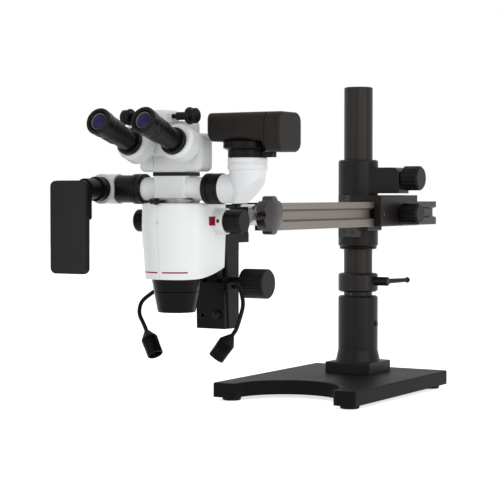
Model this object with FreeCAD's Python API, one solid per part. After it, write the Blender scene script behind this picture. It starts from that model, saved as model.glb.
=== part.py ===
# Stereo binocular microscope on a sliding boom stand.
# Millimetres, +Z up, +X to the operator's right, the operator sits on the -Y side.
# The model is drawn about the column axis with the floor at Z = 0, and is moved at
# the end so that the origin is the middle of its footprint on the floor.
import FreeCAD
import Part
import math
import os

V = FreeCAD.Vector

# Fits
RUNNING_FIT = 0.05         # radial clearance of a shaft or slide that turns or runs
FACE_GAP = 0.3             # gap between faces of pieces that move past each other
SEAM_GAP = 0.3             # gap between the two halves of the zoom body's cover

# Base plate and feet
FOOT_DIA = 30.0
FOOT_HEIGHT = 6.0
FOOT_INSET_X = 21.0        # foot centre from the plate's side
FOOT_INSET_Y = 25.0        # foot centre from the plate's front or rear edge
FOOT_EDGE = 1.5
PLATE_WIDTH = 252.0
PLATE_FRONT = 266.0        # column axis to the front edge
PLATE_REAR = 88.0          # column axis to the rear edge
PLATE_THICK = 23.0
PLATE_CORNER = 4.5
PLATE_EDGE = 2.5
NOTCH_RADIUS = 86.0        # round cut-out between the two front horns
NOTCH_SETBACK = 10.0       # centre of the cut-out behind the front edge
HORN_ROUND = 9.0

# Column, its socket and the safety collar
COLUMN_DIA = 48.0
COLUMN_TOP = 507.0
COLUMN_EDGE = 3.0
FLANGE_SIDE = 82.6
FLANGE_THICK = 18.0
FLANGE_EDGE = 2.0
SLEEVE_DIA = 66.6          # outside of socket, collar and carriage
FLARE_DIA = 75.0
FLARE_HEIGHT = 19.0
SOCKET_TOP = 157.0
SLEEVE_CHAMFER = 2.5
FLANGE_BOLT_PITCH = 62.0
BOLT_SHANK_DIA = 6.0
BOLT_HEAD_DIA = 10.0
BOLT_HEAD_HEIGHT = 6.0
BOLT_DRIVE = 5.0           # hexagon socket across its flats
BOLT_DEPTH = 14.0          # bolt length in the plate
SET_SCREW_DIA = 6.0
SET_SCREW_HEAD_DIA = 8.0
SET_SCREW_PROUD = 3.0
STOP_PIN_DIA = 5.0         # pin in the column that stops the collar
STOP_PIN_PROUD = 1.5
STOP_PIN_GAP = 1.0         # collar above the pin
SOCKET_SCREW_Z = 111.0
COLLAR_BOTTOM = 164.0
COLLAR_HEIGHT = 31.0
COLLAR_SLIT = 2.5
LEVER_HUB_DIA = 15.0
LEVER_HUB_LENGTH = 23.0
LEVER_REACH = 61.0
LEVER_LEAN = 13.0          # the lever's end leans away from the column
LEVER_ROD_DIA = 7.0
LEVER_BALL_DIA = 10.0
LEVER_SPINDLE_DIA = 6.0
LEVER_SPINDLE_DEPTH = 6.0

# Carriage on the column
CARRIAGE_BOTTOM = 240.0
CARRIAGE_HEIGHT = 145.0
BUSH_WALL = 4.0
BUSH_FLANGE_DIA = 62.0
BUSH_FLANGE_THICK = 4.0
CLAMP_BLOCK_BOTTOM = 329.0
CLAMP_BLOCK_HEIGHT = 43.0
CLAMP_BLOCK_X = 82.0
CLAMP_BLOCK_FRONT = 17.0
CLAMP_BLOCK_REAR = 25.0
CLAMP_BLOCK_ROUND = 12.0
KNOB_FLUTES = 16
HEIGHT_KNOB_DIA = 40.5
HEIGHT_KNOB_LENGTH = 29.0
HEIGHT_KNOB_Z = 354.0
HEIGHT_KNOB_Y = 4.0
KNOB_NECK_DIA = 22.0
KNOB_NECK_LENGTH = 3.0
KNOB_EDGE = 3.0
FLUTE_DIA = 5.0
SPINDLE_DIA = 8.0
SPINDLE_DEPTH = 12.0

# Arm and its guide
ARM_X = 51.0               # vertical plane through the middle of arm and microscope
ARM_WIDTH = 26.0
ARM_HEIGHT = 40.0
ARM_BOTTOM = 275.0
ARM_FRONT = -412.0
ARM_REAR = 179.0
ARM_CHANNEL_DEPTH = 6.6
ARM_LOWER_LIP = 12.0
ARM_UPPER_LIP = 9.6
ARM_LIP_SLOPE = 3.0
ARM_CORE_WIDTH = 8.0
ARM_CORE_WALL = 5.0
GUIDE_HALF_LENGTH = 72.0
GUIDE_WALL = 12.8
GUIDE_ROOF = 11.0
GUIDE_INNER_X = 20.0
GUIDE_EDGE = 2.0
SHOE_LENGTH = 152.0
SHOE_HEIGHT = 12.0
ARM_KNOB_DIA = 36.0
ARM_KNOB_LENGTH = 31.0
ARM_KNOB_Y = 8.0
BRIDGE_LEFT = -18.0        # left edge of the bridge plate from the column's axis
BRIDGE_THICK = 5.0
BRIDGE_BOTTOM = 256.5
BRIDGE_SCREW_INSET = 8.5
BRIDGE_SCREW_PITCH = 15.5
GUIDE_TOE_DEPTH = 8.0      # toe of the guide block under the arm
GUIDE_TOE_HALF = 27.0
GUIDE_TOE_Y = -13.0
SMALL_SCREW_DIA = 5.0
SMALL_SCREW_HEAD = 1.5
GUIDE_SCREW_INSET = 14.0

# Tilting joint at the arm's front end
TILT_Y = -459.0
TILT_Z = 298.0
BARREL_DIA = 29.0
BARREL_LENGTH = 40.0
EAR_THICK = 14.0
EAR_DIA = 31.0
HEAD_PLATE_DEPTH = 6.0     # plate on the arm's front end
HEAD_NECK_HALF = 13.0      # half height of the neck from the plate to the ear
AXLE_DIA = 12.0
STAR_DIA = 55.0
STAR_LOBES = 6
STAR_THICK = 20.0
STAR_VALLEY_DIA = 15.0
STAR_DOME = 5.0

# Focus column
COLUMN_HALF = 24.5
FOCUS_COLUMN_BOTTOM = 143.0
FOCUS_COLUMN_TOP = 274.0
FOCUS_COLUMN_REAR = -525.0
FOCUS_FRONT_TOP = -564.0
FOCUS_FRONT_FOOT = -553.0
FOCUS_EDGE = 2.0
BRACKET_HALF = 15.5
BRACKET_TOP = 310.0
BRACKET_FRONT = -544.0
BRACKET_REAR = -485.0
TAB_REAR = -499.0
TAB_BOTTOM = 261.0
LUG_HALF = 12.0
LUG_HEIGHT = 22.0
DOVETAIL_MOUTH = 12.0      # half widths of the focusing dovetail
DOVETAIL_ROOT = 16.0
DOVETAIL_BACK = -553.0
DOVETAIL_FLOOR = 153.0
FRONT_BOX_HALF = 22.5      # lamp driver box on the foot of the focus column
FRONT_BOX_TOP = 207.0
FRONT_BOX_Y_TOP = -563.5
FRONT_BOX_Y_FOOT = -561.0
TENSION_LEVER_X = 58.0
TENSION_LEVER_Y = -504.0
TENSION_HUB_DIA = 13.0
TENSION_HUB_HEIGHT = 4.5
TENSION_BAR = 7.0
TENSION_BAR_LENGTH = 30.0
TENSION_BLADE = 6.0
TENSION_BLADE_THICK = 2.5
TENSION_BLADE_RADIUS = 120.0
TENSION_REACH = 44.0
TENSION_LIFT = 3.0

# Rack and pinion of the focusing drive
FOCUS_Y = -545.5
FOCUS_Z = 206.0
GEAR_MODULE = 0.8
PINION_TEETH = 16
GEAR_PRESSURE_ANGLE = 20.0
GEAR_BACKLASH = 0.16
GEAR_TIP_CLEARANCE = 0.2
PINION_WIDTH = 9.0
FOCUS_TRAVEL = 20.0        # up and down from the rest height
RACK_WIDTH = 8.0
RACK_BASE = 3.0            # rack bar behind the tooth roots
RACK_BELOW = 28.0          # rack below the pinion axis at rest
RACK_ABOVE = 44.0
FOCUS_SHAFT_DIA = 8.0
FOCUS_KNOB_DIA = 40.5
FOCUS_KNOB_IN = 46.0       # inner face from the middle plane
FOCUS_KNOB_OUT = 82.5
FOCUS_HUB_DIA = 16.0
FOCUS_KNOB_FLUTES = 24
FOCUS_FLUTE_DIA = 3.0
CARRIER_BELOW = 30.0       # rack carrier below the pinion axis at rest
CARRIER_HALF = 7.0
CARRIER_FRONT = -557.4
SLIDE_TOP = 300.0
SLIDE_BOTTOM = 213.0
SLIDE_HALF = 22.0
SLIDE_BACK = -565.0

# Zoom body
AXIS_Y = -648.0            # optical axis
BODY_RADIUS = 46.0
BODY_REAR = -580.0
BODY_REAR_HALF = 41.0
BODY_REAR_ROUND = 15.0
BODY_BOTTOM = 216.0
BODY_WAIST = 285.0
BODY_TOP = 316.0
BODY_TAPER = 4.5
REAR_WINDOW_HALF = 18.0    # opening in the covers' rear wall for the slide's boss
REAR_WINDOW_BOTTOM = 247.0
REAR_WINDOW_BELOW = 5.0    # top of that opening below the slide's top
BODY_RIM_RADIUS = 302.0    # the lower rim rises towards the back along this arc
BODY_RIM_START = -680.0
BODY_TOP_EDGE = 3.0
COVER_WALL = 3.0
BOSS_DIA = 35.0
BOSS_FACE = 58.0           # outer face of the index boss from the middle plane
ZOOM_Y = -613.0
ZOOM_Z = 292.0
ZOOM_KNOB_DIA = 30.5
ZOOM_KNOB_IN = 59.0
ZOOM_KNOB_OUT = 84.0
ZOOM_SHAFT_DIA = 8.0
ZOOM_KNOB_FLUTES = 20
ZOOM_FLUTE_DIA = 2.4
SEAT_DIA = 62.8
SEAT_TOP = 321.0
SEAT_NECK_DIA = 52.0
SEAT_NECK_TOP = 323.0
CHASSIS_PLATE = 6.0
CHASSIS_CLEARANCE = 1.0
CHASSIS_WALL_HALF = 30.0
TUBE_SPACING = 30.0        # distance between the two zoom channels
TUBE_OUTER = 26.0
TUBE_BORE = 20.2
TUBE_SLOT = 5.0
CELL_HEIGHT = 8.0
CELL_BORE = 15.0
CELL_Z = 262.0
YOKE_WIDTH = 4.0
YOKE_Y = -630.0
YOKE_THICK = 4.0
COVER_SCREW_DIA = 5.0
COVER_SCREW_Z = 291.0
THUMB_HEAD_DIA = 9.0
THUMB_HEAD_LENGTH = 6.0
THUMB_TIP_DIA = 7.0
THUMB_TIP_LENGTH = 9.0
THUMB_SHANK_DIA = 4.0
THUMB_RISE = 2.6           # thumb screw axis above the body's top

# Objective
OBJECTIVE_TOP_DIA = 67.3
OBJECTIVE_FOOT_DIA = 50.5
OBJECTIVE_BOTTOM = 171.5
OBJECTIVE_FLANGE_DIA = 60.0
OBJECTIVE_WALL = 3.0
OBJECTIVE_GROOVE = 0.6
OBJECTIVE_GROOVE_Z = 199.0
OBJECTIVE_MOUTH_DIA = 42.0 # bore in front of the lens for a slip-in ring
OBJECTIVE_LENS_DIA = 40.0
OBJECTIVE_LENS_THICK = 8.0
OBJECTIVE_LENS_RECESS = 5.0
OBJECTIVE_LENS_CROWN = 3.0

# Beam splitter and head plate
PORT_Z = 335.0             # axis of the two side ports
SPLITTER_HALF_X = 24.5
SPLITTER_HALF_Y = 19.0
SPLITTER_TOP = 352.0
SPLITTER_EDGE = 3.0
PORT_TUBE_DIA = 31.0
PORT_TUBE_END = 50.0       # end of the cross tube from the middle plane
PORT_BORE = 22.0
SPIGOT_LENGTH = 5.0        # turning spigots of display holder and camera adapter
HEAD_PLATE_THICK = 5.0

# Left port: coupler, elbow, ring, holder and display
COUPLER_DIA = 40.5
LEFT_COUPLER_NECK_DIA = 37.0
LEFT_COUPLER_OUT = 91.0    # from the middle plane
LEFT_COUPLER_STEP = 65.5
LEFT_ELBOW_OUT = 107.0
LEFT_ELBOW_DIA = 40.0
LEFT_ELBOW_FRONT = 21.0    # front end of the elbow from the port axis
LEFT_RING_DIA = 33.0
LEFT_RING_LENGTH = 14.0
LEFT_NECK_DIA = 28.0
LEFT_NECK_LENGTH = 24.0
HOLDER_HEIGHT = 52.0
HOLDER_THICK = 3.0
DISPLAY_WIDTH = 60.0
DISPLAY_HEIGHT = 124.0
DISPLAY_THICK = 8.0
DISPLAY_ROUND = 8.0
DISPLAY_RIGHT = 11.0       # right edge from the ring axis
DISPLAY_ABOVE = 10.8       # top edge above the ring axis
DISPLAY_EDGE = 1.5

# Right port: coupler, elbow, adapter and camera
RIGHT_COUPLER_OUT = 73.0
RIGHT_ELBOW_OUT = 109.0    # vertical tube axis from the middle plane
RIGHT_ELBOW_DIA = 38.0
RIGHT_TUBE_FOOT_DIA = 44.0
RIGHT_TUBE_TOP_DIA = 52.0
RIGHT_COLLAR_BOTTOM = 360.5
RIGHT_COLLAR_TOP = 375.0
RIGHT_COLLAR_GROOVE = 1.0
ELBOW_FACET = 6.0          # mirror facet from the corner of the elbow
ELBOW_BORE = 14.0          # light path through the right elbow
ADAPTER_DIA = 51.0
ADAPTER_HEIGHT = 9.0
ADAPTER_UPPER_DIA = 63.0
ADAPTER_TAB_REACH = 14.0
CAMERA_TOP = 433.0
CAMERA_LEFT = 46.0         # left end from the adapter axis
CAMERA_RIGHT = 63.0
CAMERA_HALF_DEPTH = 31.0
CAMERA_LEFT_HALF_DEPTH = 27.0
CAMERA_HEIGHT_LEFT = 37.0
CAMERA_HEIGHT_RIGHT = 51.0
CAMERA_CAP_LENGTH = 22.0
CAMERA_ROUND = 13.0
CAMERA_SEAM = 0.8

# Binocular head
HEAD_BASE_HALF = 24.5
HEAD_BASE_HALF_Y = 18.0
HEAD_PIVOT_Y = -648.0
HEAD_PIVOT_Z = 384.0
HEAD_PIVOT_DIA = 36.0
HEAD_PIVOT_PIN = 8.0
CHEEK_THICK = 25.0
CHEEK_BOTTOM = 357.5
CHEEK_TOP = 408.0
CHEEK_FRONT = 19.0
CHEEK_REAR = 16.0
CHEEK_ROUND = 10.0
TOP_BOX_HALF = 20.0
TOP_BOX_FRONT = -706.0
TOP_BOX_REAR = -672.0
TOP_BOX_BOTTOM = 421.0
TOP_BOX_TOP = 437.0
EYE_SPACING = 68.0
EYE_TILT = 19.0            # eye tubes above the horizontal
EYE_FACE_Y = -706.0        # front face of the prism housings on the tube axis
EYE_FACE_Z = 395.5
PRISM_DIA = 48.5
PRISM_RISE = 2.5           # middle of the prism housing above the tube's axis
PRISM_DEPTH = 26.0
PRISM_EDGE = 3.0
TUBE_RING_DIA = 36.0
TUBE_RING_LENGTH = 6.0
EYE_TUBE_DIA = 28.0
EYE_TUBE_LENGTH = 34.0
EYE_TUBE_BORE = 23.2
EYEPIECE_DIA = 35.5
EYEPIECE_REAR_DIA = 31.5
EYEPIECE_LENGTH = 44.0
EYEPIECE_BARREL = 23.0
EYEPIECE_SOCKET = 22.0
EYECUP_BORE = 27.0
EYECUP_DEPTH = 4.0
IPD_KNOB_Y = -688.0
IPD_KNOB_Z = 429.0
IPD_SHAFT_DIA = 6.0
IPD_HUB_DIA = 10.5
IPD_DISC_DIA = 22.5
IPD_END_DIA = 20.0
IPD_HUB_IN = 27.0
IPD_DISC_IN = 43.5
IPD_DISC_OUT = 49.0
IPD_END_OUT = 58.0

# Lamps on bent necks
LAMP_ROOT_Y = -560.0
LAMP_ROOT_Z = 195.0
LAMP_ROOT_DEPTH = 8.0
NECK_DIA = 5.6
LAMP_DIA = 22.6
LAMP_LENGTH = 27.0
LAMP_CONE = 11.0
LAMP_BORE = 18.0
LAMP_BORE_DEPTH = 7.0
DIMMER_X = 61.5
DIMMER_Z = 163.0
DIMMER_DIA = 13.0
DIMMER_LENGTH = 6.0
JACK_X = 38.5
JACK_Z = 161.0
JACK_DIA = 9.0
JACK_BORE = 5.5
JACK_DEPTH = 9.0

# Heights worked out from the sizes above
PLATE_TOP = FOOT_HEIGHT + PLATE_THICK
FLANGE_TOP = PLATE_TOP + FLANGE_THICK
COLLAR_TOP = COLLAR_BOTTOM + COLLAR_HEIGHT
CARRIAGE_TOP = CARRIAGE_BOTTOM + CARRIAGE_HEIGHT
ARM_TOP = ARM_BOTTOM + ARM_HEIGHT
ARM_NEAR = ARM_X + ARM_WIDTH / 2
ARM_FAR = ARM_X - ARM_WIDTH / 2
GUIDE_NEAR = ARM_NEAR + GUIDE_WALL
SLEEVE_RADIUS = SLEEVE_DIA / 2
BARREL_FAR = ARM_X - 12.7
BARREL_NEAR = BARREL_FAR + BARREL_LENGTH
CEILING = BODY_TOP - COVER_WALL
SLIDE_FRONT = BODY_REAR

# Middle points of the bent lamp necks, from the box's side to the lamp, as distance
# out from the middle plane, Y and Z. They are bent by hand, so the two sides differ.
RIGHT_NECK = [(28.0, -560, 195), (35.0, -571, 207), (50.0, -577, 209), (64.0, -588, 199),
              (75.0, -600, 181), (75.0, -609, 164)]
LEFT_NECK = [(28.0, -560, 195), (36.0, -571, 206), (52.0, -577, 206), (72.0, -588, 196),
             (89.0, -600, 180), (87.0, -609, 164)]
LAMP_OUT = 68.0            # top of the lamp
LAMP_TOP_Y = -618.0
LAMP_TOP_Z = 141.0
LAMP_AIM = 23.0            # sideways lean of each lamp over its length
LAMP_LEAN = 10.0           # forward lean of each lamp over its length
LAMP_DROP = 35.0
NECK_STRAIGHT = 9.0        # straight end of the neck above the lamp


def cylinder(dia, length, start, axis):
    """A round bar from start along axis."""
    return Part.makeCylinder(dia / 2, length, V(*start), V(*axis))


def tube(dia, bore, length, start, axis):
    """A round tube from start along axis."""
    return cylinder(dia, length, start, axis).cut(cylinder(bore, length, start, axis))


def box(x0, x1, y0, y1, z0, z1):
    """A box between two corners."""
    return Part.makeBox(x1 - x0, y1 - y0, z1 - z0, V(x0, y0, z0))


def fuse(*shapes):
    """One solid from pieces that are cast or moulded as one."""
    whole = shapes[0]
    for shape in shapes[1:]:
        whole = whole.fuse(shape)
    return whole.removeSplitter()


def cut(shape, *tools):
    """The shape with each tool taken away."""
    for tool in tools:
        shape = shape.cut(tool)
    return shape


def group(*shapes):
    """Separate solids that share one node."""
    return Part.makeCompound([solid for shape in shapes for solid in shape.Solids])


def edges_where(shape, test):
    """The edges whose middle point passes the test."""
    return [edge for edge in shape.Edges
            if test(edge.valueAt((edge.FirstParameter + edge.LastParameter) / 2))]


def round_edges(shape, radius, test):
    """Fillet the edges whose middle point passes the test."""
    return shape.makeFillet(radius, edges_where(shape, test))


def chamfer_edges(shape, size, test):
    """Chamfer the edges whose middle point passes the test."""
    return shape.makeChamfer(size, edges_where(shape, test))


def near(value, target, reach=0.01):
    return abs(value - target) < reach


def outline(points):
    """A closed face from straight runs between points."""
    return Part.Face(Part.makePolygon(points + [points[0]]))


def turned(profile, start, axis):
    """A turned piece: profile is (distance along the axis, radius) from its start."""
    wire = Part.makePolygon([V(r, 0, a) for a, r in profile + profile[:1]])
    solid = Part.Face(wire).revolve(V(0, 0, 0), V(0, 0, 1), 360)
    return placed(solid, start, axis)


def placed(shape, start, axis):
    """A shape drawn about +Z from the origin, moved to start and turned to axis."""
    moved = shape.copy()
    moved.Placement = FreeCAD.Placement(V(*start), FreeCAD.Rotation(V(0, 0, 1), V(*axis)))
    return moved


def mirrored(shape):
    """The same piece on the other side of the microscope's middle plane."""
    return shape.mirror(V(ARM_X, 0, 0), V(1, 0, 0))


def fluted_knob(dia, length, flutes, flute_dia, edge):
    """A knob about +Z from the origin, with round flutes along its rim."""
    knob = cylinder(dia, length, (0, 0, 0), (0, 0, 1))
    knob = chamfer_edges(knob, edge, lambda p: near(p.z, length))
    cutters = []
    for number in range(flutes):
        angle = 2 * math.pi * number / flutes
        reach = dia / 2 + flute_dia * 0.25
        cutters.append(cylinder(flute_dia, length, (reach * math.cos(angle), reach * math.sin(angle), 0), (0, 0, 1)))
    return knob.cut(Part.makeCompound(cutters))


def bent_rod(points, dia):
    """A round rod along straight runs joined by tangent arcs as large as they fit."""
    edges = []
    start = points[0]
    for before, corner, after in zip(points, points[1:], points[2:]):
        run_in = (corner - before).normalize()
        run_out = (after - corner).normalize()
        reach = 0.45 * min((corner - before).Length, (after - corner).Length)
        arc_start = corner - run_in * reach
        arc_end = corner + run_out * reach
        turn = run_in.getAngle(run_out)
        radius = reach / math.tan(turn / 2)
        middle = corner + (run_out - run_in).normalize() * (radius / math.cos(turn / 2) - radius)
        edges.append(Part.LineSegment(start, arc_start).toShape())
        edges.append(Part.Arc(arc_start, middle, arc_end).toShape())
        start = arc_end
    edges.append(Part.LineSegment(start, points[-1]).toShape())
    path = Part.Wire(edges)
    section = Part.Wire([Part.makeCircle(dia / 2, points[0], points[1] - points[0])])
    return path.makePipeShell([section], True, False)


# Stand

def base_plate():
    plate = box(-PLATE_WIDTH / 2, PLATE_WIDTH / 2, -PLATE_FRONT, PLATE_REAR, FOOT_HEIGHT, PLATE_TOP)
    notch = cylinder(2 * NOTCH_RADIUS, PLATE_THICK, (0, -PLATE_FRONT + NOTCH_SETBACK, FOOT_HEIGHT), (0, 0, 1))
    plate = plate.cut(notch)
    half_height = FOOT_HEIGHT + PLATE_THICK / 2
    plate = round_edges(plate, PLATE_CORNER, lambda p: near(abs(p.x), PLATE_WIDTH / 2) and near(p.z, half_height))
    plate = round_edges(plate, HORN_ROUND, lambda p: near(p.y, -PLATE_FRONT) and near(p.z, half_height)
                        and abs(p.x) < NOTCH_RADIUS + 1)
    plate = round_edges(plate, PLATE_EDGE, lambda p: near(p.z, PLATE_TOP))
    for x, y in flange_bolt_places():
        plate = plate.cut(cylinder(BOLT_SHANK_DIA, BOLT_DEPTH, (x, y, PLATE_TOP - BOLT_DEPTH), (0, 0, 1)))
    return plate


def flange_bolt_places():
    half = FLANGE_BOLT_PITCH / 2
    return [(x, y) for x in (-half, half) for y in (-half, half)]


def base_feet():
    feet = []
    for side in (-1, 1):
        for y in (-PLATE_FRONT + FOOT_INSET_Y, PLATE_REAR - FOOT_INSET_Y):
            foot = cylinder(FOOT_DIA, FOOT_HEIGHT, (side * (PLATE_WIDTH / 2 - FOOT_INSET_X), y, 0), (0, 0, 1))
            feet.append(chamfer_edges(foot, FOOT_EDGE, lambda p: near(p.z, 0)))
    return group(*feet)


def column_socket():
    flange = box(-FLANGE_SIDE / 2, FLANGE_SIDE / 2, -FLANGE_SIDE / 2, FLANGE_SIDE / 2, PLATE_TOP, FLANGE_TOP)
    flange = round_edges(flange, FLANGE_EDGE, lambda p: near(p.z, FLANGE_TOP) or
                         (near(abs(p.x), FLANGE_SIDE / 2) and near(abs(p.y), FLANGE_SIDE / 2)))
    sleeve = turned([(0, 0), (0, FLARE_DIA / 2), (FLARE_HEIGHT, SLEEVE_RADIUS),
                     (SOCKET_TOP - FLANGE_TOP - SLEEVE_CHAMFER, SLEEVE_RADIUS),
                     (SOCKET_TOP - FLANGE_TOP, SLEEVE_RADIUS - SLEEVE_CHAMFER),
                     (SOCKET_TOP - FLANGE_TOP, 0)], (0, 0, FLANGE_TOP), (0, 0, 1))
    socket = fuse(flange, sleeve)
    socket = socket.cut(cylinder(COLUMN_DIA + 2 * RUNNING_FIT, SOCKET_TOP, (0, 0, PLATE_TOP), (0, 0, 1)))
    for x, y in flange_bolt_places():
        socket = cut(socket, cylinder(BOLT_SHANK_DIA, FLANGE_THICK, (x, y, PLATE_TOP), (0, 0, 1)),
                     cylinder(BOLT_HEAD_DIA + 1, BOLT_HEAD_HEIGHT, (x, y, FLANGE_TOP - BOLT_HEAD_HEIGHT), (0, 0, 1)))
    return socket.cut(cylinder(SET_SCREW_DIA, SLEEVE_RADIUS, (COLUMN_DIA / 4, 0, SOCKET_SCREW_Z), (1, 0, 0)))


def stop_pin_z():
    """The stop pin stands in the gap between the socket and the safety collar."""
    return COLLAR_BOTTOM - STOP_PIN_GAP - STOP_PIN_DIA / 2


def stand_screws():
    screws = []
    for x, y in flange_bolt_places():
        head = cylinder(BOLT_HEAD_DIA, BOLT_HEAD_HEIGHT - 0.5, (x, y, FLANGE_TOP - BOLT_HEAD_HEIGHT), (0, 0, 1))
        drive = prism(6, BOLT_DRIVE, BOLT_HEAD_HEIGHT / 2, (x, y, FLANGE_TOP - 0.5 - BOLT_HEAD_HEIGHT / 2))
        shank_foot = PLATE_TOP - BOLT_DEPTH
        shank = cylinder(BOLT_SHANK_DIA, FLANGE_TOP - BOLT_HEAD_HEIGHT - shank_foot, (x, y, shank_foot), (0, 0, 1))
        screws.append(fuse(head, shank).cut(drive))
    reach = COLUMN_DIA / 2 + RUNNING_FIT
    shank = cylinder(SET_SCREW_DIA, SLEEVE_RADIUS - reach + 1, (reach, 0, SOCKET_SCREW_Z), (1, 0, 0))
    head = cylinder(SET_SCREW_HEAD_DIA, SET_SCREW_PROUD, (SLEEVE_RADIUS, 0, SOCKET_SCREW_Z), (1, 0, 0))
    head = chamfer_edges(head, 0.8, lambda p: near(p.x, SLEEVE_RADIUS + SET_SCREW_PROUD))
    screws.append(fuse(shank, head))
    column_radius = COLUMN_DIA / 2
    pin = cylinder(STOP_PIN_DIA, STOP_PIN_PROUD + 2, (0, -column_radius + 2, stop_pin_z()), (0, -1, 0))
    screws.append(pin.cut(cylinder(COLUMN_DIA, STOP_PIN_DIA + 2, (0, 0, stop_pin_z() - STOP_PIN_DIA / 2 - 1), (0, 0, 1))))
    return group(*screws)


def prism(sides, across_flats, height, centre):
    """An upright prism, such as a hexagon socket."""
    radius = across_flats / 2 / math.cos(math.pi / sides)
    points = [V(centre[0] + radius * math.cos(2 * math.pi * n / sides),
                centre[1] + radius * math.sin(2 * math.pi * n / sides), centre[2]) for n in range(sides)]
    return outline(points).extrude(V(0, 0, height))


def column_bar():
    column = cylinder(COLUMN_DIA, COLUMN_TOP - PLATE_TOP, (0, 0, PLATE_TOP), (0, 0, 1))
    return round_edges(column, COLUMN_EDGE, lambda p: near(p.z, COLUMN_TOP))


def safety_collar():
    collar = tube(SLEEVE_DIA, COLUMN_DIA + 2 * RUNNING_FIT, COLLAR_HEIGHT, (0, 0, COLLAR_BOTTOM), (0, 0, 1))
    collar = chamfer_edges(collar, SLEEVE_CHAMFER, lambda p: near(math.hypot(p.x, p.y), SLEEVE_RADIUS)
                           and (near(p.z, COLLAR_BOTTOM) or near(p.z, COLLAR_TOP)))
    slit = box(0, COLLAR_SLIT, 0, SLEEVE_RADIUS + 1, COLLAR_BOTTOM, COLLAR_TOP)
    bore = cylinder(LEVER_SPINDLE_DIA + 2 * RUNNING_FIT, SLEEVE_RADIUS, (COLUMN_DIA / 2, 0, lever_z()), (1, 0, 0))
    return cut(collar, slit, bore)


def lever_z():
    return COLLAR_TOP - 13.0


def collar_lever():
    inner = SLEEVE_RADIUS + FACE_GAP
    hub = cylinder(LEVER_HUB_DIA, LEVER_HUB_LENGTH, (inner, 0, lever_z()), (1, 0, 0))
    hub = chamfer_edges(hub, 1.5, lambda p: near(p.x, inner + LEVER_HUB_LENGTH))
    spindle = cylinder(LEVER_SPINDLE_DIA, LEVER_SPINDLE_DEPTH + FACE_GAP + 1,
                       (SLEEVE_RADIUS - LEVER_SPINDLE_DEPTH, 0, lever_z()), (1, 0, 0))
    root_x = inner + LEVER_HUB_LENGTH - LEVER_ROD_DIA
    length = math.hypot(LEVER_LEAN, LEVER_REACH)
    rod = turned([(0, 0), (0, LEVER_ROD_DIA / 2 + 1), (length, LEVER_ROD_DIA / 2), (length, 0)],
                 (root_x, 0, lever_z()), (LEVER_LEAN, LEVER_REACH, 0))
    ball = Part.makeSphere(LEVER_BALL_DIA / 2, V(root_x + LEVER_LEAN, LEVER_REACH, lever_z()))
    return fuse(hub, spindle, rod, ball)


# Carriage

def carriage_bush():
    bore = COLUMN_DIA + 2 * RUNNING_FIT
    outer = COLUMN_DIA + 2 * BUSH_WALL
    liner = cylinder(outer, CARRIAGE_HEIGHT - SLEEVE_CHAMFER, (0, 0, CARRIAGE_BOTTOM - FACE_GAP), (0, 0, 1))
    flange = cylinder(BUSH_FLANGE_DIA, BUSH_FLANGE_THICK, (0, 0, bush_bottom()), (0, 0, 1))
    flange = chamfer_edges(flange, 1.0, lambda p: near(p.z, bush_bottom()))
    return fuse(liner, flange).cut(cylinder(bore, COLUMN_TOP, (0, 0, PLATE_TOP), (0, 0, 1)))


def bush_bottom():
    return CARRIAGE_BOTTOM - FACE_GAP - BUSH_FLANGE_THICK


def bush_hole():
    """The bore of the carriage, with its running clearance on the bush."""
    dia = COLUMN_DIA + 2 * BUSH_WALL + 2 * RUNNING_FIT
    return cylinder(dia, CARRIAGE_HEIGHT, (0, 0, CARRIAGE_BOTTOM), (0, 0, 1))


def carriage_sleeve():
    sleeve = cylinder(SLEEVE_DIA, CARRIAGE_HEIGHT, (0, 0, CARRIAGE_BOTTOM), (0, 0, 1))
    sleeve = chamfer_edges(sleeve, SLEEVE_CHAMFER, lambda p: near(p.z, CARRIAGE_BOTTOM) or near(p.z, CARRIAGE_TOP))
    block_top = CLAMP_BLOCK_BOTTOM + CLAMP_BLOCK_HEIGHT
    block = box(0, CLAMP_BLOCK_X, -CLAMP_BLOCK_FRONT, CLAMP_BLOCK_REAR, CLAMP_BLOCK_BOTTOM, block_top)
    block = round_edges(block, CLAMP_BLOCK_ROUND, lambda p: near(p.z, block_top) and near(p.x, CLAMP_BLOCK_X))
    block = round_edges(block, GUIDE_EDGE, lambda p: near(p.x, CLAMP_BLOCK_X))
    carriage = fuse(sleeve, block).cut(bush_hole())
    knob_bore = cylinder(SPINDLE_DIA + 2 * RUNNING_FIT, SPINDLE_DEPTH + 1,
                         (CLAMP_BLOCK_X - SPINDLE_DEPTH - 1, HEIGHT_KNOB_Y, HEIGHT_KNOB_Z), (1, 0, 0))
    return carriage.cut(knob_bore)


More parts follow.
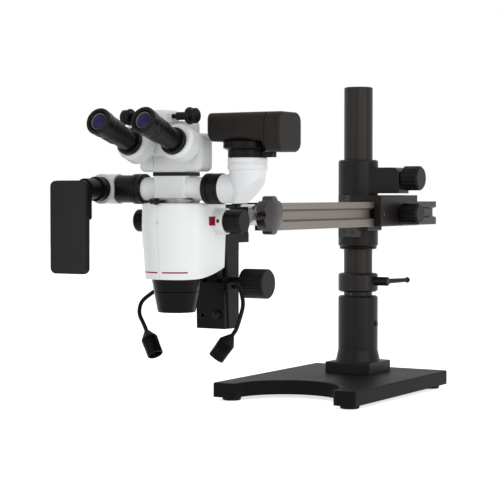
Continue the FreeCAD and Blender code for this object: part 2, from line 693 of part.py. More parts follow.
def arm_guide():
    top = ARM_TOP + RUNNING_FIT + GUIDE_ROOF
    block = box(GUIDE_INNER_X, GUIDE_NEAR, -GUIDE_HALF_LENGTH, GUIDE_HALF_LENGTH, ARM_BOTTOM, top)
    block = round_edges(block, GUIDE_EDGE, lambda p: near(p.x, GUIDE_NEAR))
    channel = box(ARM_FAR - RUNNING_FIT, ARM_NEAR + RUNNING_FIT, -GUIDE_HALF_LENGTH, GUIDE_HALF_LENGTH,
                  ARM_BOTTOM, ARM_TOP + RUNNING_FIT)
    saddle = cylinder(SLEEVE_DIA, CARRIAGE_HEIGHT, (0, 0, CARRIAGE_BOTTOM), (0, 0, 1))
    knob_bore = cylinder(SPINDLE_DIA + 2 * RUNNING_FIT, GUIDE_WALL, (GUIDE_NEAR - SPINDLE_DEPTH + 2, ARM_KNOB_Y, arm_knob_z()), (1, 0, 0))
    screw_y = -GUIDE_HALF_LENGTH + GUIDE_SCREW_INSET
    screw_bore = cylinder(SMALL_SCREW_DIA, 6, (GUIDE_NEAR - 6, screw_y, arm_knob_z()), (1, 0, 0))
    toe = box(GUIDE_INNER_X, ARM_FAR - 1, GUIDE_TOE_Y - GUIDE_TOE_HALF, GUIDE_TOE_Y + GUIDE_TOE_HALF,
              ARM_BOTTOM - GUIDE_TOE_DEPTH, ARM_BOTTOM + 1)
    toe = round_edges(toe, GUIDE_EDGE, lambda p: near(p.z, ARM_BOTTOM - GUIDE_TOE_DEPTH) and near(p.x, ARM_FAR - 1))
    return cut(fuse(block, toe), channel, saddle, knob_bore, screw_bore)


def arm_knob_z():
    return ARM_BOTTOM + ARM_HEIGHT / 2


def channel_middle():
    return (ARM_BOTTOM + ARM_LOWER_LIP + ARM_TOP - ARM_UPPER_LIP) / 2


def guide_shoes():
    depth = ARM_CHANNEL_DEPTH - FACE_GAP
    z0 = channel_middle() - SHOE_HEIGHT / 2
    near_wall = ARM_NEAR + RUNNING_FIT
    shoe = box(near_wall - depth, near_wall, -SHOE_LENGTH / 2, SHOE_LENGTH / 2, z0, z0 + SHOE_HEIGHT)
    shoe = chamfer_edges(shoe, 1.0, lambda p: near(p.x, near_wall - depth))
    return group(shoe, mirrored(shoe))


def carriage_screws():
    """Bridge plate across the sleeve's front, its screws, and the guide block's screw."""
    plate_front = -SLEEVE_RADIUS - BRIDGE_THICK
    plate_top = ARM_TOP + RUNNING_FIT + GUIDE_ROOF
    plate = box(BRIDGE_LEFT, GUIDE_INNER_X, plate_front, 0, BRIDGE_BOTTOM, plate_top)
    plate = plate.cut(cylinder(SLEEVE_DIA, CARRIAGE_HEIGHT, (0, 0, CARRIAGE_BOTTOM), (0, 0, 1)))
    pieces = [plate]
    screw_x = BRIDGE_LEFT + BRIDGE_SCREW_INSET
    low = BRIDGE_BOTTOM + BRIDGE_SCREW_INSET
    for x, z in ((screw_x, low), (screw_x + BRIDGE_SCREW_PITCH, low), (screw_x, plate_top - BRIDGE_SCREW_INSET / 2)):
        pieces.append(cylinder(SMALL_SCREW_DIA, SMALL_SCREW_HEAD, (x, plate_front, z), (0, -1, 0)))
    screw_y = -GUIDE_HALF_LENGTH + GUIDE_SCREW_INSET
    pieces.append(cylinder(SMALL_SCREW_DIA - 0.4, 5, (GUIDE_NEAR - 6, screw_y, arm_knob_z()), (1, 0, 0)))
    return group(*pieces)


def radial_knob(dia, length, face_x, y, z):
    """Clamping knob whose spindle points at the column or the arm."""
    knob = fluted_knob(dia, length, KNOB_FLUTES, FLUTE_DIA, KNOB_EDGE)
    knob.translate(V(0, 0, KNOB_NECK_LENGTH))
    neck = cylinder(KNOB_NECK_DIA, KNOB_NECK_LENGTH + 1, (0, 0, 0), (0, 0, 1))
    spindle = cylinder(SPINDLE_DIA, SPINDLE_DEPTH + FACE_GAP, (0, 0, -SPINDLE_DEPTH - FACE_GAP + 2), (0, 0, 1))
    return placed(fuse(knob, neck, spindle), (face_x + FACE_GAP, y, z), (1, 0, 0))


def height_knob():
    return radial_knob(HEIGHT_KNOB_DIA, HEIGHT_KNOB_LENGTH, CLAMP_BLOCK_X, HEIGHT_KNOB_Y, HEIGHT_KNOB_Z)


def arm_lock_knob():
    return radial_knob(ARM_KNOB_DIA, ARM_KNOB_LENGTH, GUIDE_NEAR, ARM_KNOB_Y, arm_knob_z())


# Arm and tilting joint

def arm_bar():
    """Extruded bar with a sloped-lip channel along each side and a hollow core."""
    z1 = ARM_BOTTOM + ARM_LOWER_LIP
    z2 = ARM_TOP - ARM_UPPER_LIP
    floor_x = ARM_NEAR - ARM_CHANNEL_DEPTH
    right = [V(ARM_X, ARM_FRONT, ARM_BOTTOM), V(ARM_NEAR, ARM_FRONT, ARM_BOTTOM), V(ARM_NEAR, ARM_FRONT, z1),
             V(floor_x, ARM_FRONT, z1 + ARM_LIP_SLOPE), V(floor_x, ARM_FRONT, z2 - ARM_LIP_SLOPE),
             V(ARM_NEAR, ARM_FRONT, z2), V(ARM_NEAR, ARM_FRONT, ARM_TOP), V(ARM_X, ARM_FRONT, ARM_TOP)]
    left = [V(2 * ARM_X - p.x, p.y, p.z) for p in reversed(right[1:-1])]
    bar = outline(right + left).extrude(V(0, ARM_REAR - ARM_FRONT, 0))
    core = box(ARM_X - ARM_CORE_WIDTH / 2, ARM_X + ARM_CORE_WIDTH / 2, ARM_FRONT, ARM_REAR,
               ARM_BOTTOM + ARM_CORE_WALL, ARM_TOP - ARM_CORE_WALL)
    return bar.cut(core)


def arm_head():
    """End plate on the arm with one ear that holds the tilting axle."""
    ear_far = BARREL_FAR - FACE_GAP - EAR_THICK
    ear_near = BARREL_FAR - FACE_GAP
    plate_front = ARM_FRONT - HEAD_PLATE_DEPTH
    plate = box(ARM_FAR, ARM_NEAR, plate_front, ARM_FRONT, ARM_BOTTOM, ARM_TOP)
    plate = round_edges(plate, GUIDE_EDGE, lambda p: near(p.y, plate_front))
    neck = box(ear_far, ARM_NEAR, TILT_Y + BARREL_DIA / 2 + FACE_GAP, plate_front + 1,
               TILT_Z - HEAD_NECK_HALF, TILT_Z + HEAD_NECK_HALF)
    web = box(ear_far, ear_near, TILT_Y, TILT_Y + BARREL_DIA, TILT_Z - HEAD_NECK_HALF, TILT_Z + HEAD_NECK_HALF)
    ear = cylinder(EAR_DIA, EAR_THICK, (ear_far, TILT_Y, TILT_Z), (1, 0, 0))
    plug = box(ARM_X - ARM_CORE_WIDTH / 2, ARM_X + ARM_CORE_WIDTH / 2, ARM_FRONT - 1, ARM_FRONT + 18,
               ARM_BOTTOM + ARM_CORE_WALL, ARM_TOP - ARM_CORE_WALL)
    head = fuse(plate, neck, web, ear, plug)
    return head.cut(cylinder(AXLE_DIA, EAR_THICK, (ear_far, TILT_Y, TILT_Z), (1, 0, 0)))


def tilt_axle():
    far = BARREL_FAR - FACE_GAP - EAR_THICK
    length = BARREL_NEAR + FACE_GAP + STAR_THICK - 5.0 - far
    axle = cylinder(AXLE_DIA, length, (far, TILT_Y, TILT_Z), (1, 0, 0))
    return chamfer_edges(axle, 1.0, lambda p: near(p.x, far + length))


def tilt_barrel():
    barrel = cylinder(BARREL_DIA, BARREL_LENGTH, (BARREL_FAR, TILT_Y, TILT_Z), (1, 0, 0))
    barrel = chamfer_edges(barrel, 1.0, lambda p: near(p.x, BARREL_FAR) or near(p.x, BARREL_NEAR))
    lug = box(ARM_X - LUG_HALF, ARM_X + LUG_HALF, BRACKET_REAR, TILT_Y, TILT_Z - LUG_HEIGHT / 2, TILT_Z + LUG_HEIGHT / 2)
    bore = cylinder(AXLE_DIA + 2 * RUNNING_FIT, BARREL_LENGTH, (BARREL_FAR, TILT_Y, TILT_Z), (1, 0, 0))
    return fuse(barrel, lug).cut(bore)


def star_knob():
    """Star knob with rounded lobes and a domed outer face."""
    disc = cylinder(STAR_DIA, STAR_THICK, (0, 0, 0), (0, 0, 1))
    dome_radius = (STAR_DIA ** 2 / 4 + STAR_DOME ** 2) / (2 * STAR_DOME)
    dome = Part.makeSphere(dome_radius, V(0, 0, STAR_THICK - dome_radius))
    star = disc.common(dome)
    valleys = []
    for number in range(STAR_LOBES):
        angle = 2 * math.pi * (number + 0.5) / STAR_LOBES
        reach = STAR_DIA / 2 + STAR_VALLEY_DIA * 0.22
        valleys.append(cylinder(STAR_VALLEY_DIA, STAR_THICK, (reach * math.cos(angle), reach * math.sin(angle), 0), (0, 0, 1)))
    star = star.cut(Part.makeCompound(valleys))
    star = round_edges(star, 2.0, lambda p: near(p.z, 0) or p.z > STAR_THICK - STAR_DOME - 1.5)
    bore = cylinder(AXLE_DIA + 2 * RUNNING_FIT, STAR_THICK - 4.5, (0, 0, 0), (0, 0, 1))
    return placed(star.cut(bore), (BARREL_NEAR + FACE_GAP, TILT_Y, TILT_Z), (1, 0, 0))


# Focus column, slide, rack and pinion

def dovetail(half_mouth, half_root, back, front, z0, z1):
    """A bar whose section widens from front (narrow) to back, about the middle plane."""
    points = [V(ARM_X - half_mouth, front, z0), V(ARM_X + half_mouth, front, z0),
              V(ARM_X + half_root, back, z0), V(ARM_X - half_root, back, z0)]
    return outline(points).extrude(V(0, 0, z1 - z0))


def dovetail_slope():
    return (DOVETAIL_ROOT - DOVETAIL_MOUTH) / (DOVETAIL_BACK - FOCUS_FRONT_TOP)


def focus_column():
    """Column with the lamp driver box on its foot and the bracket on its head."""
    x0 = ARM_X - COLUMN_HALF
    side = outline([V(x0, FOCUS_COLUMN_REAR, FOCUS_COLUMN_BOTTOM), V(x0, FOCUS_FRONT_FOOT, FOCUS_COLUMN_BOTTOM),
                    V(x0, FOCUS_FRONT_TOP, FOCUS_COLUMN_TOP), V(x0, FOCUS_COLUMN_REAR, FOCUS_COLUMN_TOP)])
    block = side.extrude(V(2 * COLUMN_HALF, 0, 0))
    block = round_edges(block, FOCUS_EDGE, lambda p: near(abs(p.x - ARM_X), COLUMN_HALF)
                        and FOCUS_COLUMN_BOTTOM + 1 < p.z < FOCUS_COLUMN_TOP - 1)
    x1 = ARM_X - FRONT_BOX_HALF
    front_box = outline([V(x1, FOCUS_COLUMN_REAR - 5, FOCUS_COLUMN_BOTTOM), V(x1, FRONT_BOX_Y_FOOT, FOCUS_COLUMN_BOTTOM),
                         V(x1, FRONT_BOX_Y_TOP, FRONT_BOX_TOP), V(x1, FOCUS_COLUMN_REAR - 5, FRONT_BOX_TOP)])
    front_box = front_box.extrude(V(2 * FRONT_BOX_HALF, 0, 0))
    bracket = box(ARM_X - BRACKET_HALF, ARM_X + BRACKET_HALF, BRACKET_FRONT, BRACKET_REAR, FOCUS_COLUMN_TOP - 1, BRACKET_TOP)
    tab = box(ARM_X - COLUMN_HALF, ARM_X + COLUMN_HALF, FOCUS_COLUMN_REAR - 1, TAB_REAR, TAB_BOTTOM, FOCUS_COLUMN_TOP)
    column = fuse(block, front_box, bracket, tab)
    reach = 6.0
    groove = dovetail(DOVETAIL_MOUTH - dovetail_slope() * reach, DOVETAIL_ROOT, DOVETAIL_BACK,
                      FOCUS_FRONT_TOP - reach, FRONT_BOX_TOP, BRACKET_TOP + 20)
    pocket = box(ARM_X - CARRIER_HALF - FACE_GAP, ARM_X + CARRIER_HALF + FACE_GAP, CARRIER_FRONT - FACE_GAP,
                 DOVETAIL_BACK, DOVETAIL_FLOOR, FRONT_BOX_TOP + 1)
    tip = rack_pitch_y() + GEAR_MODULE + FACE_GAP
    rack_channel = box(ARM_X - RACK_WIDTH / 2 - FACE_GAP, ARM_X + RACK_WIDTH / 2 + FACE_GAP,
                       DOVETAIL_BACK - 1, tip, DOVETAIL_FLOOR, FOCUS_COLUMN_TOP + 1)
    gear_dia = GEAR_MODULE * (PINION_TEETH + 2) + 1.0
    gear_room = cylinder(gear_dia, PINION_WIDTH + 1.0, (ARM_X - PINION_WIDTH / 2 - 0.5, FOCUS_Y, FOCUS_Z), (1, 0, 0))
    shaft_bore = cylinder(FOCUS_SHAFT_DIA + 2 * RUNNING_FIT, 2 * COLUMN_HALF, (ARM_X - COLUMN_HALF, FOCUS_Y, FOCUS_Z), (1, 0, 0))
    dimmer_bore = cylinder(SPINDLE_DIA / 2 + 2 * RUNNING_FIT, 12, (DIMMER_X, column_front(DIMMER_Z) - 2, DIMMER_Z), (0, 1, 0))
    jack_bore = cylinder(JACK_DIA, JACK_DEPTH, (JACK_X, column_front(JACK_Z) - 2, JACK_Z), (0, 1, 0))
    lever_bore = cylinder(SPINDLE_DIA / 2 + 2 * RUNNING_FIT, 12, (TENSION_LEVER_X, TENSION_LEVER_Y, BRACKET_TOP - 12), (0, 0, 1))
    roots = [cylinder(NECK_DIA + 2 * RUNNING_FIT, LAMP_ROOT_DEPTH + 4,
                      (ARM_X + side * (FRONT_BOX_HALF - LAMP_ROOT_DEPTH), LAMP_ROOT_Y, LAMP_ROOT_Z), (side, 0, 0))
             for side in (-1, 1)]
    return cut(column, groove, pocket, rack_channel, gear_room, shaft_bore, dimmer_bore, jack_bore, lever_bore, *roots)


def column_front(z):
    """Y of the sloping front of the lamp driver box at a height."""
    share = (z - FOCUS_COLUMN_BOTTOM) / (FRONT_BOX_TOP - FOCUS_COLUMN_BOTTOM)
    return FRONT_BOX_Y_FOOT + share * (FRONT_BOX_Y_TOP - FRONT_BOX_Y_FOOT)


def rack_pitch_y():
    return FOCUS_Y - GEAR_MODULE * PINION_TEETH / 2


def focus_slide():
    clear = RUNNING_FIT / math.cos(math.atan(dovetail_slope()))
    tongue_back = DOVETAIL_BACK - FACE_GAP
    half_back = DOVETAIL_ROOT - dovetail_slope() * FACE_GAP - clear
    half_front = DOVETAIL_MOUTH - dovetail_slope() * (FOCUS_FRONT_TOP - SLIDE_BACK) - clear
    tongue = dovetail(half_front, half_back, tongue_back, SLIDE_BACK, tongue_foot(), SLIDE_TOP)
    carrier = box(ARM_X - CARRIER_HALF, ARM_X + CARRIER_HALF, CARRIER_FRONT, tongue_back,
                  FOCUS_Z - CARRIER_BELOW, SLIDE_TOP)
    plate = box(ARM_X - SLIDE_HALF, ARM_X + SLIDE_HALF, SLIDE_FRONT, SLIDE_BACK, SLIDE_BOTTOM, SLIDE_TOP)
    plate = round_edges(plate, FOCUS_EDGE, lambda p: near(abs(p.x - ARM_X), SLIDE_HALF) and near(p.y, SLIDE_BACK))
    window = rear_window(FACE_GAP)
    slide = fuse(plate, tongue, carrier, window)
    slot = box(ARM_X - RACK_WIDTH / 2, ARM_X + RACK_WIDTH / 2, rack_back(), tongue_back + 1,
               FOCUS_Z - RACK_BELOW, FOCUS_Z + RACK_ABOVE)
    return slide.cut(slot)


def tongue_foot():
    """The wide tongue stops above the lamp driver box at the lowest focus."""
    return FRONT_BOX_TOP + FOCUS_TRAVEL + 1.0


def rear_window(clearance):
    """Boss of the slide through the covers' rear wall, up to the chassis."""
    half = REAR_WINDOW_HALF - clearance
    return box(ARM_X - half, ARM_X + half, BODY_REAR - COVER_WALL - CHASSIS_CLEARANCE, BODY_REAR,
               REAR_WINDOW_BOTTOM + clearance, SLIDE_TOP - REAR_WINDOW_BELOW - clearance)


def rack_back():
    return rack_pitch_y() - 1.25 * GEAR_MODULE - RACK_BASE


def focus_rack():
    """Straight rack with 20 degree teeth; a tooth space faces the pinion at rest."""
    pitch = math.pi * GEAR_MODULE
    slope = math.tan(math.radians(GEAR_PRESSURE_ANGLE))
    tip_y = rack_pitch_y() + GEAR_MODULE - GEAR_TIP_CLEARANCE / 2
    root_y = rack_pitch_y() - 1.25 * GEAR_MODULE
    half_at_pitch = pitch / 4 - GEAR_BACKLASH / 4
    half_tip = half_at_pitch - slope * (tip_y - rack_pitch_y())
    half_root = half_at_pitch + slope * (rack_pitch_y() - root_y)
    z0 = FOCUS_Z - RACK_BELOW
    z1 = FOCUS_Z + RACK_ABOVE
    x0 = ARM_X - RACK_WIDTH / 2
    points = [V(x0, rack_back(), z0), V(x0, root_y, z0)]
    first = math.ceil((z0 + half_root - FOCUS_Z) / pitch - 0.5)
    last = math.floor((z1 - half_root - FOCUS_Z) / pitch - 0.5)
    for number in range(first, last + 1):
        middle = FOCUS_Z + (number + 0.5) * pitch
        points.append(V(x0, root_y, middle - half_root))
        points.append(V(x0, tip_y, middle - half_tip))
        points.append(V(x0, tip_y, middle + half_tip))
        points.append(V(x0, root_y, middle + half_root))
    points.append(V(x0, root_y, z1))
    points.append(V(x0, rack_back(), z1))
    return outline(points).extrude(V(RACK_WIDTH, 0, 0))


def pinion_points():
    """Outline of the involute pinion about the origin, one tooth along -Y, as (y, z)."""
    pitch_radius = GEAR_MODULE * PINION_TEETH / 2
    base_radius = pitch_radius * math.cos(math.radians(GEAR_PRESSURE_ANGLE))
    tip_radius = pitch_radius + GEAR_MODULE - GEAR_TIP_CLEARANCE / 2
    root_radius = pitch_radius - 1.25 * GEAR_MODULE

    def involute(radius):
        pressure = math.acos(min(1.0, base_radius / radius))
        return math.tan(pressure) - pressure

    half_at_pitch = math.pi / (2 * PINION_TEETH) - GEAR_BACKLASH / 4 / pitch_radius
    points = []
    steps = 4
    radii = [base_radius + (tip_radius - base_radius) * n / steps for n in range(steps + 1)]
    for number in range(PINION_TEETH):
        middle = 1.5 * math.pi + 2 * math.pi * number / PINION_TEETH
        flank = [(r, half_at_pitch + involute(pitch_radius) - involute(r)) for r in radii]
        flank.insert(0, (root_radius, flank[0][1]))
        for radius, half in flank:
            points.append((radius, middle - half))
        for radius, half in reversed(flank):
            points.append((radius, middle + half))
    return [(r * math.sin(a), r * math.cos(a)) for r, a in points]


def focus_shaft():
    length = 2 * FOCUS_KNOB_OUT - 8.0
    shaft = cylinder(FOCUS_SHAFT_DIA, length, (ARM_X - length / 2, FOCUS_Y, FOCUS_Z), (1, 0, 0))
    x0 = ARM_X - PINION_WIDTH / 2
    pinion = outline([V(x0, FOCUS_Y + y, FOCUS_Z + z) for y, z in pinion_points()]).extrude(V(PINION_WIDTH, 0, 0))
    return fuse(shaft, pinion)


def focus_knobs():
    knob = fluted_knob(FOCUS_KNOB_DIA, FOCUS_KNOB_OUT - FOCUS_KNOB_IN, FOCUS_KNOB_FLUTES, FOCUS_FLUTE_DIA, 1.5)
    hub_length = FOCUS_KNOB_IN - COLUMN_HALF - FACE_GAP
    hub = cylinder(FOCUS_HUB_DIA, hub_length + 1, (0, 0, -hub_length), (0, 0, 1))
    peg = cylinder(3.0, FOCUS_KNOB_DIA / 2 + 1.5, (0, 0, (FOCUS_KNOB_OUT - FOCUS_KNOB_IN) * 0.42), (0, 1, 0))
    bore = cylinder(FOCUS_SHAFT_DIA, FOCUS_KNOB_OUT - 4.0, (0, 0, -FOCUS_KNOB_IN), (0, 0, 1))
    solid = fuse(knob, hub, peg).cut(bore)
    solid.rotate(V(0, 0, 0), V(0, 0, 1), 90)
    right = placed(solid, (ARM_X + FOCUS_KNOB_IN, FOCUS_Y, FOCUS_Z), (1, 0, 0))
    return group(right, mirrored(right))


def tension_lever():
    """Small clamp lever on the bracket: a hub, a short bar and a thin curved blade."""
    hub = cylinder(TENSION_HUB_DIA, TENSION_HUB_HEIGHT, (0, 0, 0), (0, 0, 1))
    hub = round_edges(hub, 1.5, lambda p: near(p.z, TENSION_HUB_HEIGHT))
    pin = cylinder(SPINDLE_DIA / 2, 10.0, (0, 0, -9.0), (0, 0, 1))
    bar_end = -TENSION_HUB_DIA / 2 - TENSION_BAR_LENGTH
    bar = box(-TENSION_BAR / 2, TENSION_BAR / 2, bar_end, 0, 0, TENSION_HUB_HEIGHT - 1)
    bar = round_edges(bar, 2.0, lambda p: near(p.y, bar_end) and near(abs(p.x), TENSION_BAR / 2))
    ring = tube(2 * TENSION_BLADE_RADIUS, 2 * (TENSION_BLADE_RADIUS - TENSION_BLADE), TENSION_BLADE_THICK,
                (TENSION_BLADE_RADIUS - TENSION_BLADE / 2, 0, TENSION_LIFT), (0, 0, 1))
    blade = ring.common(box(-TENSION_REACH, TENSION_REACH, 0, TENSION_REACH, 0, TENSION_LIFT + TENSION_BLADE_THICK))
    lever = fuse(hub, pin, bar, blade)
    lever.translate(V(TENSION_LEVER_X, TENSION_LEVER_Y, BRACKET_TOP + FACE_GAP))
    return lever


# Zoom body

def body_outline(offset, taper, z):
    """Plan of the zoom body: a round front whose tangents run back to the narrower rear."""
    radius = BODY_RADIUS - offset - taper
    half = BODY_REAR_HALF - offset - taper * 0.5
    rear = BODY_REAR - offset
    dx = half
    dy = rear - AXIS_Y
    distance = math.hypot(dx, dy)
    angle = math.atan2(dy, dx) - math.acos(radius / distance)
    right = V(ARM_X + radius * math.cos(angle), AXIS_Y + radius * math.sin(angle), z)
    left = V(2 * ARM_X - right.x, right.y, z)
    front = V(ARM_X, AXIS_Y - radius, z)
    rear_right = V(ARM_X + half, rear, z)
    rear_left = V(ARM_X - half, rear, z)
    return Part.Wire([Part.Arc(right, front, left).toShape(), Part.LineSegment(left, rear_left).toShape(),
                      Part.LineSegment(rear_left, rear_right).toShape(), Part.LineSegment(rear_right, right).toShape()])


def body_form(offset):
    """The zoom body's outer form, shrunk by an offset."""
    sections = [body_outline(offset, BODY_TAPER, BODY_BOTTOM - 1), body_outline(offset, 0, BODY_WAIST),
                body_outline(offset, 0.8, BODY_TOP - offset)]
    form = Part.makeLoft(sections, True, True)
    form = round_edges(form, BODY_REAR_ROUND - offset, lambda p: p.y > BODY_REAR - offset - 3 and
                       abs(p.x - ARM_X) > BODY_REAR_HALF / 2 and BODY_BOTTOM + 4 < p.z < BODY_TOP - offset - 4)
    drum = cylinder(2 * (BODY_RIM_RADIUS - offset), 200, (ARM_X - 100, BODY_RIM_START, BODY_BOTTOM + BODY_RIM_RADIUS), (1, 0, 0))
    return form.common(drum)


def covers():
    """Both cover halves in one piece, before the seam is cut."""
    shell = body_form(0)
    shell = round_edges(shell, BODY_TOP_EDGE, lambda p: near(p.z, BODY_TOP))
    shell = shell.cut(body_form(COVER_WALL))
    bosses = cylinder(BOSS_DIA, 2 * BOSS_FACE, (ARM_X - BOSS_FACE, ZOOM_Y, ZOOM_Z), (1, 0, 0))
    bosses = chamfer_edges(bosses, 1.2, lambda p: near(abs(p.x - ARM_X), BOSS_FACE))
    shell = shell.fuse(bosses.cut(body_form(COVER_WALL)))
    top_hole = cylinder(SEAT_DIA + 1, 20, (ARM_X, AXIS_Y, CEILING - 5), (0, 0, 1))
    lens_hole = cylinder(OBJECTIVE_TOP_DIA + 1, 30, (ARM_X, AXIS_Y, BODY_BOTTOM - 5), (0, 0, 1))
    shaft_hole = cylinder(ZOOM_SHAFT_DIA + 1, 2 * BOSS_FACE + 2, (ARM_X - BOSS_FACE - 1, ZOOM_Y, ZOOM_Z), (1, 0, 0))
    return cut(shell, top_hole, lens_hole, shaft_hole, rear_window(0))


def cover_half(side):
    """One cover half: side is -1 on the left and 1 on the right."""
    keep = box(ARM_X + SEAM_GAP / 2, ARM_X + 90, AXIS_Y - 90, BODY_REAR + 20, BODY_BOTTOM - 20, BODY_TOP + 20)
    if side < 0:
        keep = mirrored(keep)
    half = covers().common(keep)
    screw_hole = cylinder(COVER_SCREW_DIA, 6, (ARM_X, AXIS_Y - BODY_RADIUS - 1, COVER_SCREW_Z), (0, 1, 0))
    return half.cut(screw_hole)


def cover_screws():
    """Slotted screw on the front seam that holds both cover halves."""
    start = AXIS_Y - BODY_RADIUS + 0.8
    screw = cylinder(COVER_SCREW_DIA - 0.2, 2.8, (ARM_X, start, COVER_SCREW_Z), (0, 1, 0))
    slot = box(ARM_X - 2, ARM_X + 2, start - 1, start + 0.8, COVER_SCREW_Z - 0.4, COVER_SCREW_Z + 0.4)
    return screw.cut(slot)


def zoom_chassis():
    """Cast chassis: top plate with the round dovetail seat, rear wall, lens tubes and shaft ears."""
    shrink = COVER_WALL + CHASSIS_CLEARANCE
    core = body_form(shrink)
    plate_bottom = CEILING - CHASSIS_CLEARANCE - CHASSIS_PLATE
    top_plate = core.common(box(ARM_X - 90, ARM_X + 90, AXIS_Y - 90, BODY_REAR + 5, plate_bottom, CEILING))
    foot = chassis_foot()
    foot_plate = cylinder(OBJECTIVE_FLANGE_DIA, CHASSIS_PLATE, (ARM_X, AXIS_Y, foot), (0, 0, 1))
    foot_bridge = box(ARM_X - CHASSIS_WALL_HALF, ARM_X + CHASSIS_WALL_HALF, AXIS_Y, chassis_wall_rear(), chassis_shelf(), chassis_shelf() + CHASSIS_PLATE)
    foot_column = cylinder(OBJECTIVE_FLANGE_DIA, chassis_shelf() + CHASSIS_PLATE - foot, (ARM_X, AXIS_Y, foot), (0, 0, 1))
    wall = box(ARM_X - CHASSIS_WALL_HALF, ARM_X + CHASSIS_WALL_HALF, chassis_wall_rear() - CHASSIS_PLATE, chassis_wall_rear(),
               chassis_shelf(), plate_bottom + 1)
    seat = turned([(0, 0), (0, SEAT_DIA / 2 - 1), (SEAT_TOP - CEILING + 1, SEAT_DIA / 2), (SEAT_TOP - CEILING + 1, SEAT_NECK_DIA / 2),
                   (SEAT_NECK_TOP - CEILING + 1, SEAT_NECK_DIA / 2), (SEAT_NECK_TOP - CEILING + 1, 0)],
                  (ARM_X, AXIS_Y, CEILING - 1), (0, 0, 1))
    ears = []
    for side in (-1, 1):
        x = ARM_X + side * (CHASSIS_WALL_HALF - 2)
        ears.append(box(x - 2, x + 2, ZOOM_Y - 8, chassis_wall_rear(), ZOOM_Z - 8, plate_bottom + 1))
    tubes = []
    bores = []
    for x in tube_places():
        tubes.append(cylinder(TUBE_OUTER, plate_bottom - chassis_shelf() + 1, (x, AXIS_Y, chassis_shelf()), (0, 0, 1)))
        bores.append(cylinder(TUBE_BORE, SEAT_NECK_TOP - foot + 2, (x, AXIS_Y, foot - 1), (0, 0, 1)))
        bores.append(box(x - TUBE_SLOT / 2, x + TUBE_SLOT / 2, AXIS_Y, AXIS_Y + TUBE_OUTER, chassis_shelf() + CHASSIS_PLATE + 1, plate_bottom - 2))
    shaft = cylinder(ZOOM_SHAFT_DIA + 2 * RUNNING_FIT, 2 * CHASSIS_WALL_HALF, (ARM_X - CHASSIS_WALL_HALF, ZOOM_Y, ZOOM_Z), (1, 0, 0))
    thumb = cylinder(THUMB_SHANK_DIA + 2 * RUNNING_FIT, 12, (ARM_X, AXIS_Y - SEAT_DIA / 2 - 1, thumb_z()), (0, 1, 0))
    body = fuse(top_plate, wall, foot_plate, foot_bridge, foot_column, seat, *ears, *tubes)
    return cut(body, shaft, thumb, *bores)


def chassis_wall_rear():
    return BODY_REAR - COVER_WALL - CHASSIS_CLEARANCE


def chassis_foot():
    return BODY_BOTTOM + 9.0


def chassis_shelf():
    """The shelf inside clears the covers' floor, which rises towards the back."""
    return BODY_BOTTOM + 28.0


def thumb_z():
    return BODY_TOP + THUMB_RISE


def tube_places():
    return [ARM_X - TUBE_SPACING / 2, ARM_X + TUBE_SPACING / 2]


def zoom_lens_cells():
    """Two lens cells that ride in the tubes on one yoke."""
    pieces = []
    bores = []
    for x in tube_places():
        pieces.append(cylinder(TUBE_BORE - 2 * RUNNING_FIT, CELL_HEIGHT, (x, AXIS_Y, CELL_Z), (0, 0, 1)))
        pieces.append(box(x - YOKE_WIDTH / 2, x + YOKE_WIDTH / 2, AXIS_Y + CELL_BORE / 2 + 1, YOKE_Y + YOKE_THICK, CELL_Z, CELL_Z + CELL_HEIGHT))
        bores.append(cylinder(CELL_BORE, CELL_HEIGHT * 0.35, (x, AXIS_Y, CELL_Z), (0, 0, 1)))
        bores.append(cylinder(CELL_BORE, CELL_HEIGHT * 0.35, (x, AXIS_Y, CELL_Z + CELL_HEIGHT * 0.65), (0, 0, 1)))
    bar = box(tube_places()[0], tube_places()[1], YOKE_Y, YOKE_Y + YOKE_THICK, CELL_Z, CELL_Z + CELL_HEIGHT)
    return cut(fuse(*pieces, bar), *bores)


def zoom_shaft():
    length = 2 * ZOOM_KNOB_OUT - 8.0
    return cylinder(ZOOM_SHAFT_DIA, length, (ARM_X - length / 2, ZOOM_Y, ZOOM_Z), (1, 0, 0))


def zoom_knobs():
    knob = fluted_knob(ZOOM_KNOB_DIA, ZOOM_KNOB_OUT - ZOOM_KNOB_IN, ZOOM_KNOB_FLUTES, ZOOM_FLUTE_DIA, 1.2)
    knob = knob.cut(cylinder(ZOOM_SHAFT_DIA, ZOOM_KNOB_OUT - ZOOM_KNOB_IN - 4.0, (0, 0, 0), (0, 0, 1)))
    right = placed(knob, (ARM_X + ZOOM_KNOB_IN, ZOOM_Y, ZOOM_Z), (1, 0, 0))
    return group(right, mirrored(right))


def thumb_screw():
    """Knurled screw that clamps the beam splitter on its round dovetail."""
    head_rear = AXIS_Y - BODY_RADIUS - 1.0
    head = fluted_knob(THUMB_HEAD_DIA, THUMB_HEAD_LENGTH, 12, 1.4, 0.8)
    shank_length = BODY_RADIUS + 1.0 - SEAT_DIA / 2 + 5.0
    shank = cylinder(THUMB_SHANK_DIA, shank_length + 1, (0, 0, -shank_length), (0, 0, 1))
    tip = cylinder(THUMB_TIP_DIA, THUMB_TIP_LENGTH + 1, (0, 0, THUMB_HEAD_LENGTH - 1), (0, 0, 1))
    tip = round_edges(tip, 1.5, lambda p: near(p.z, THUMB_HEAD_LENGTH + THUMB_TIP_LENGTH))
    return placed(fuse(head, shank, tip), (ARM_X, head_rear, thumb_z()), (0, -1, 0))


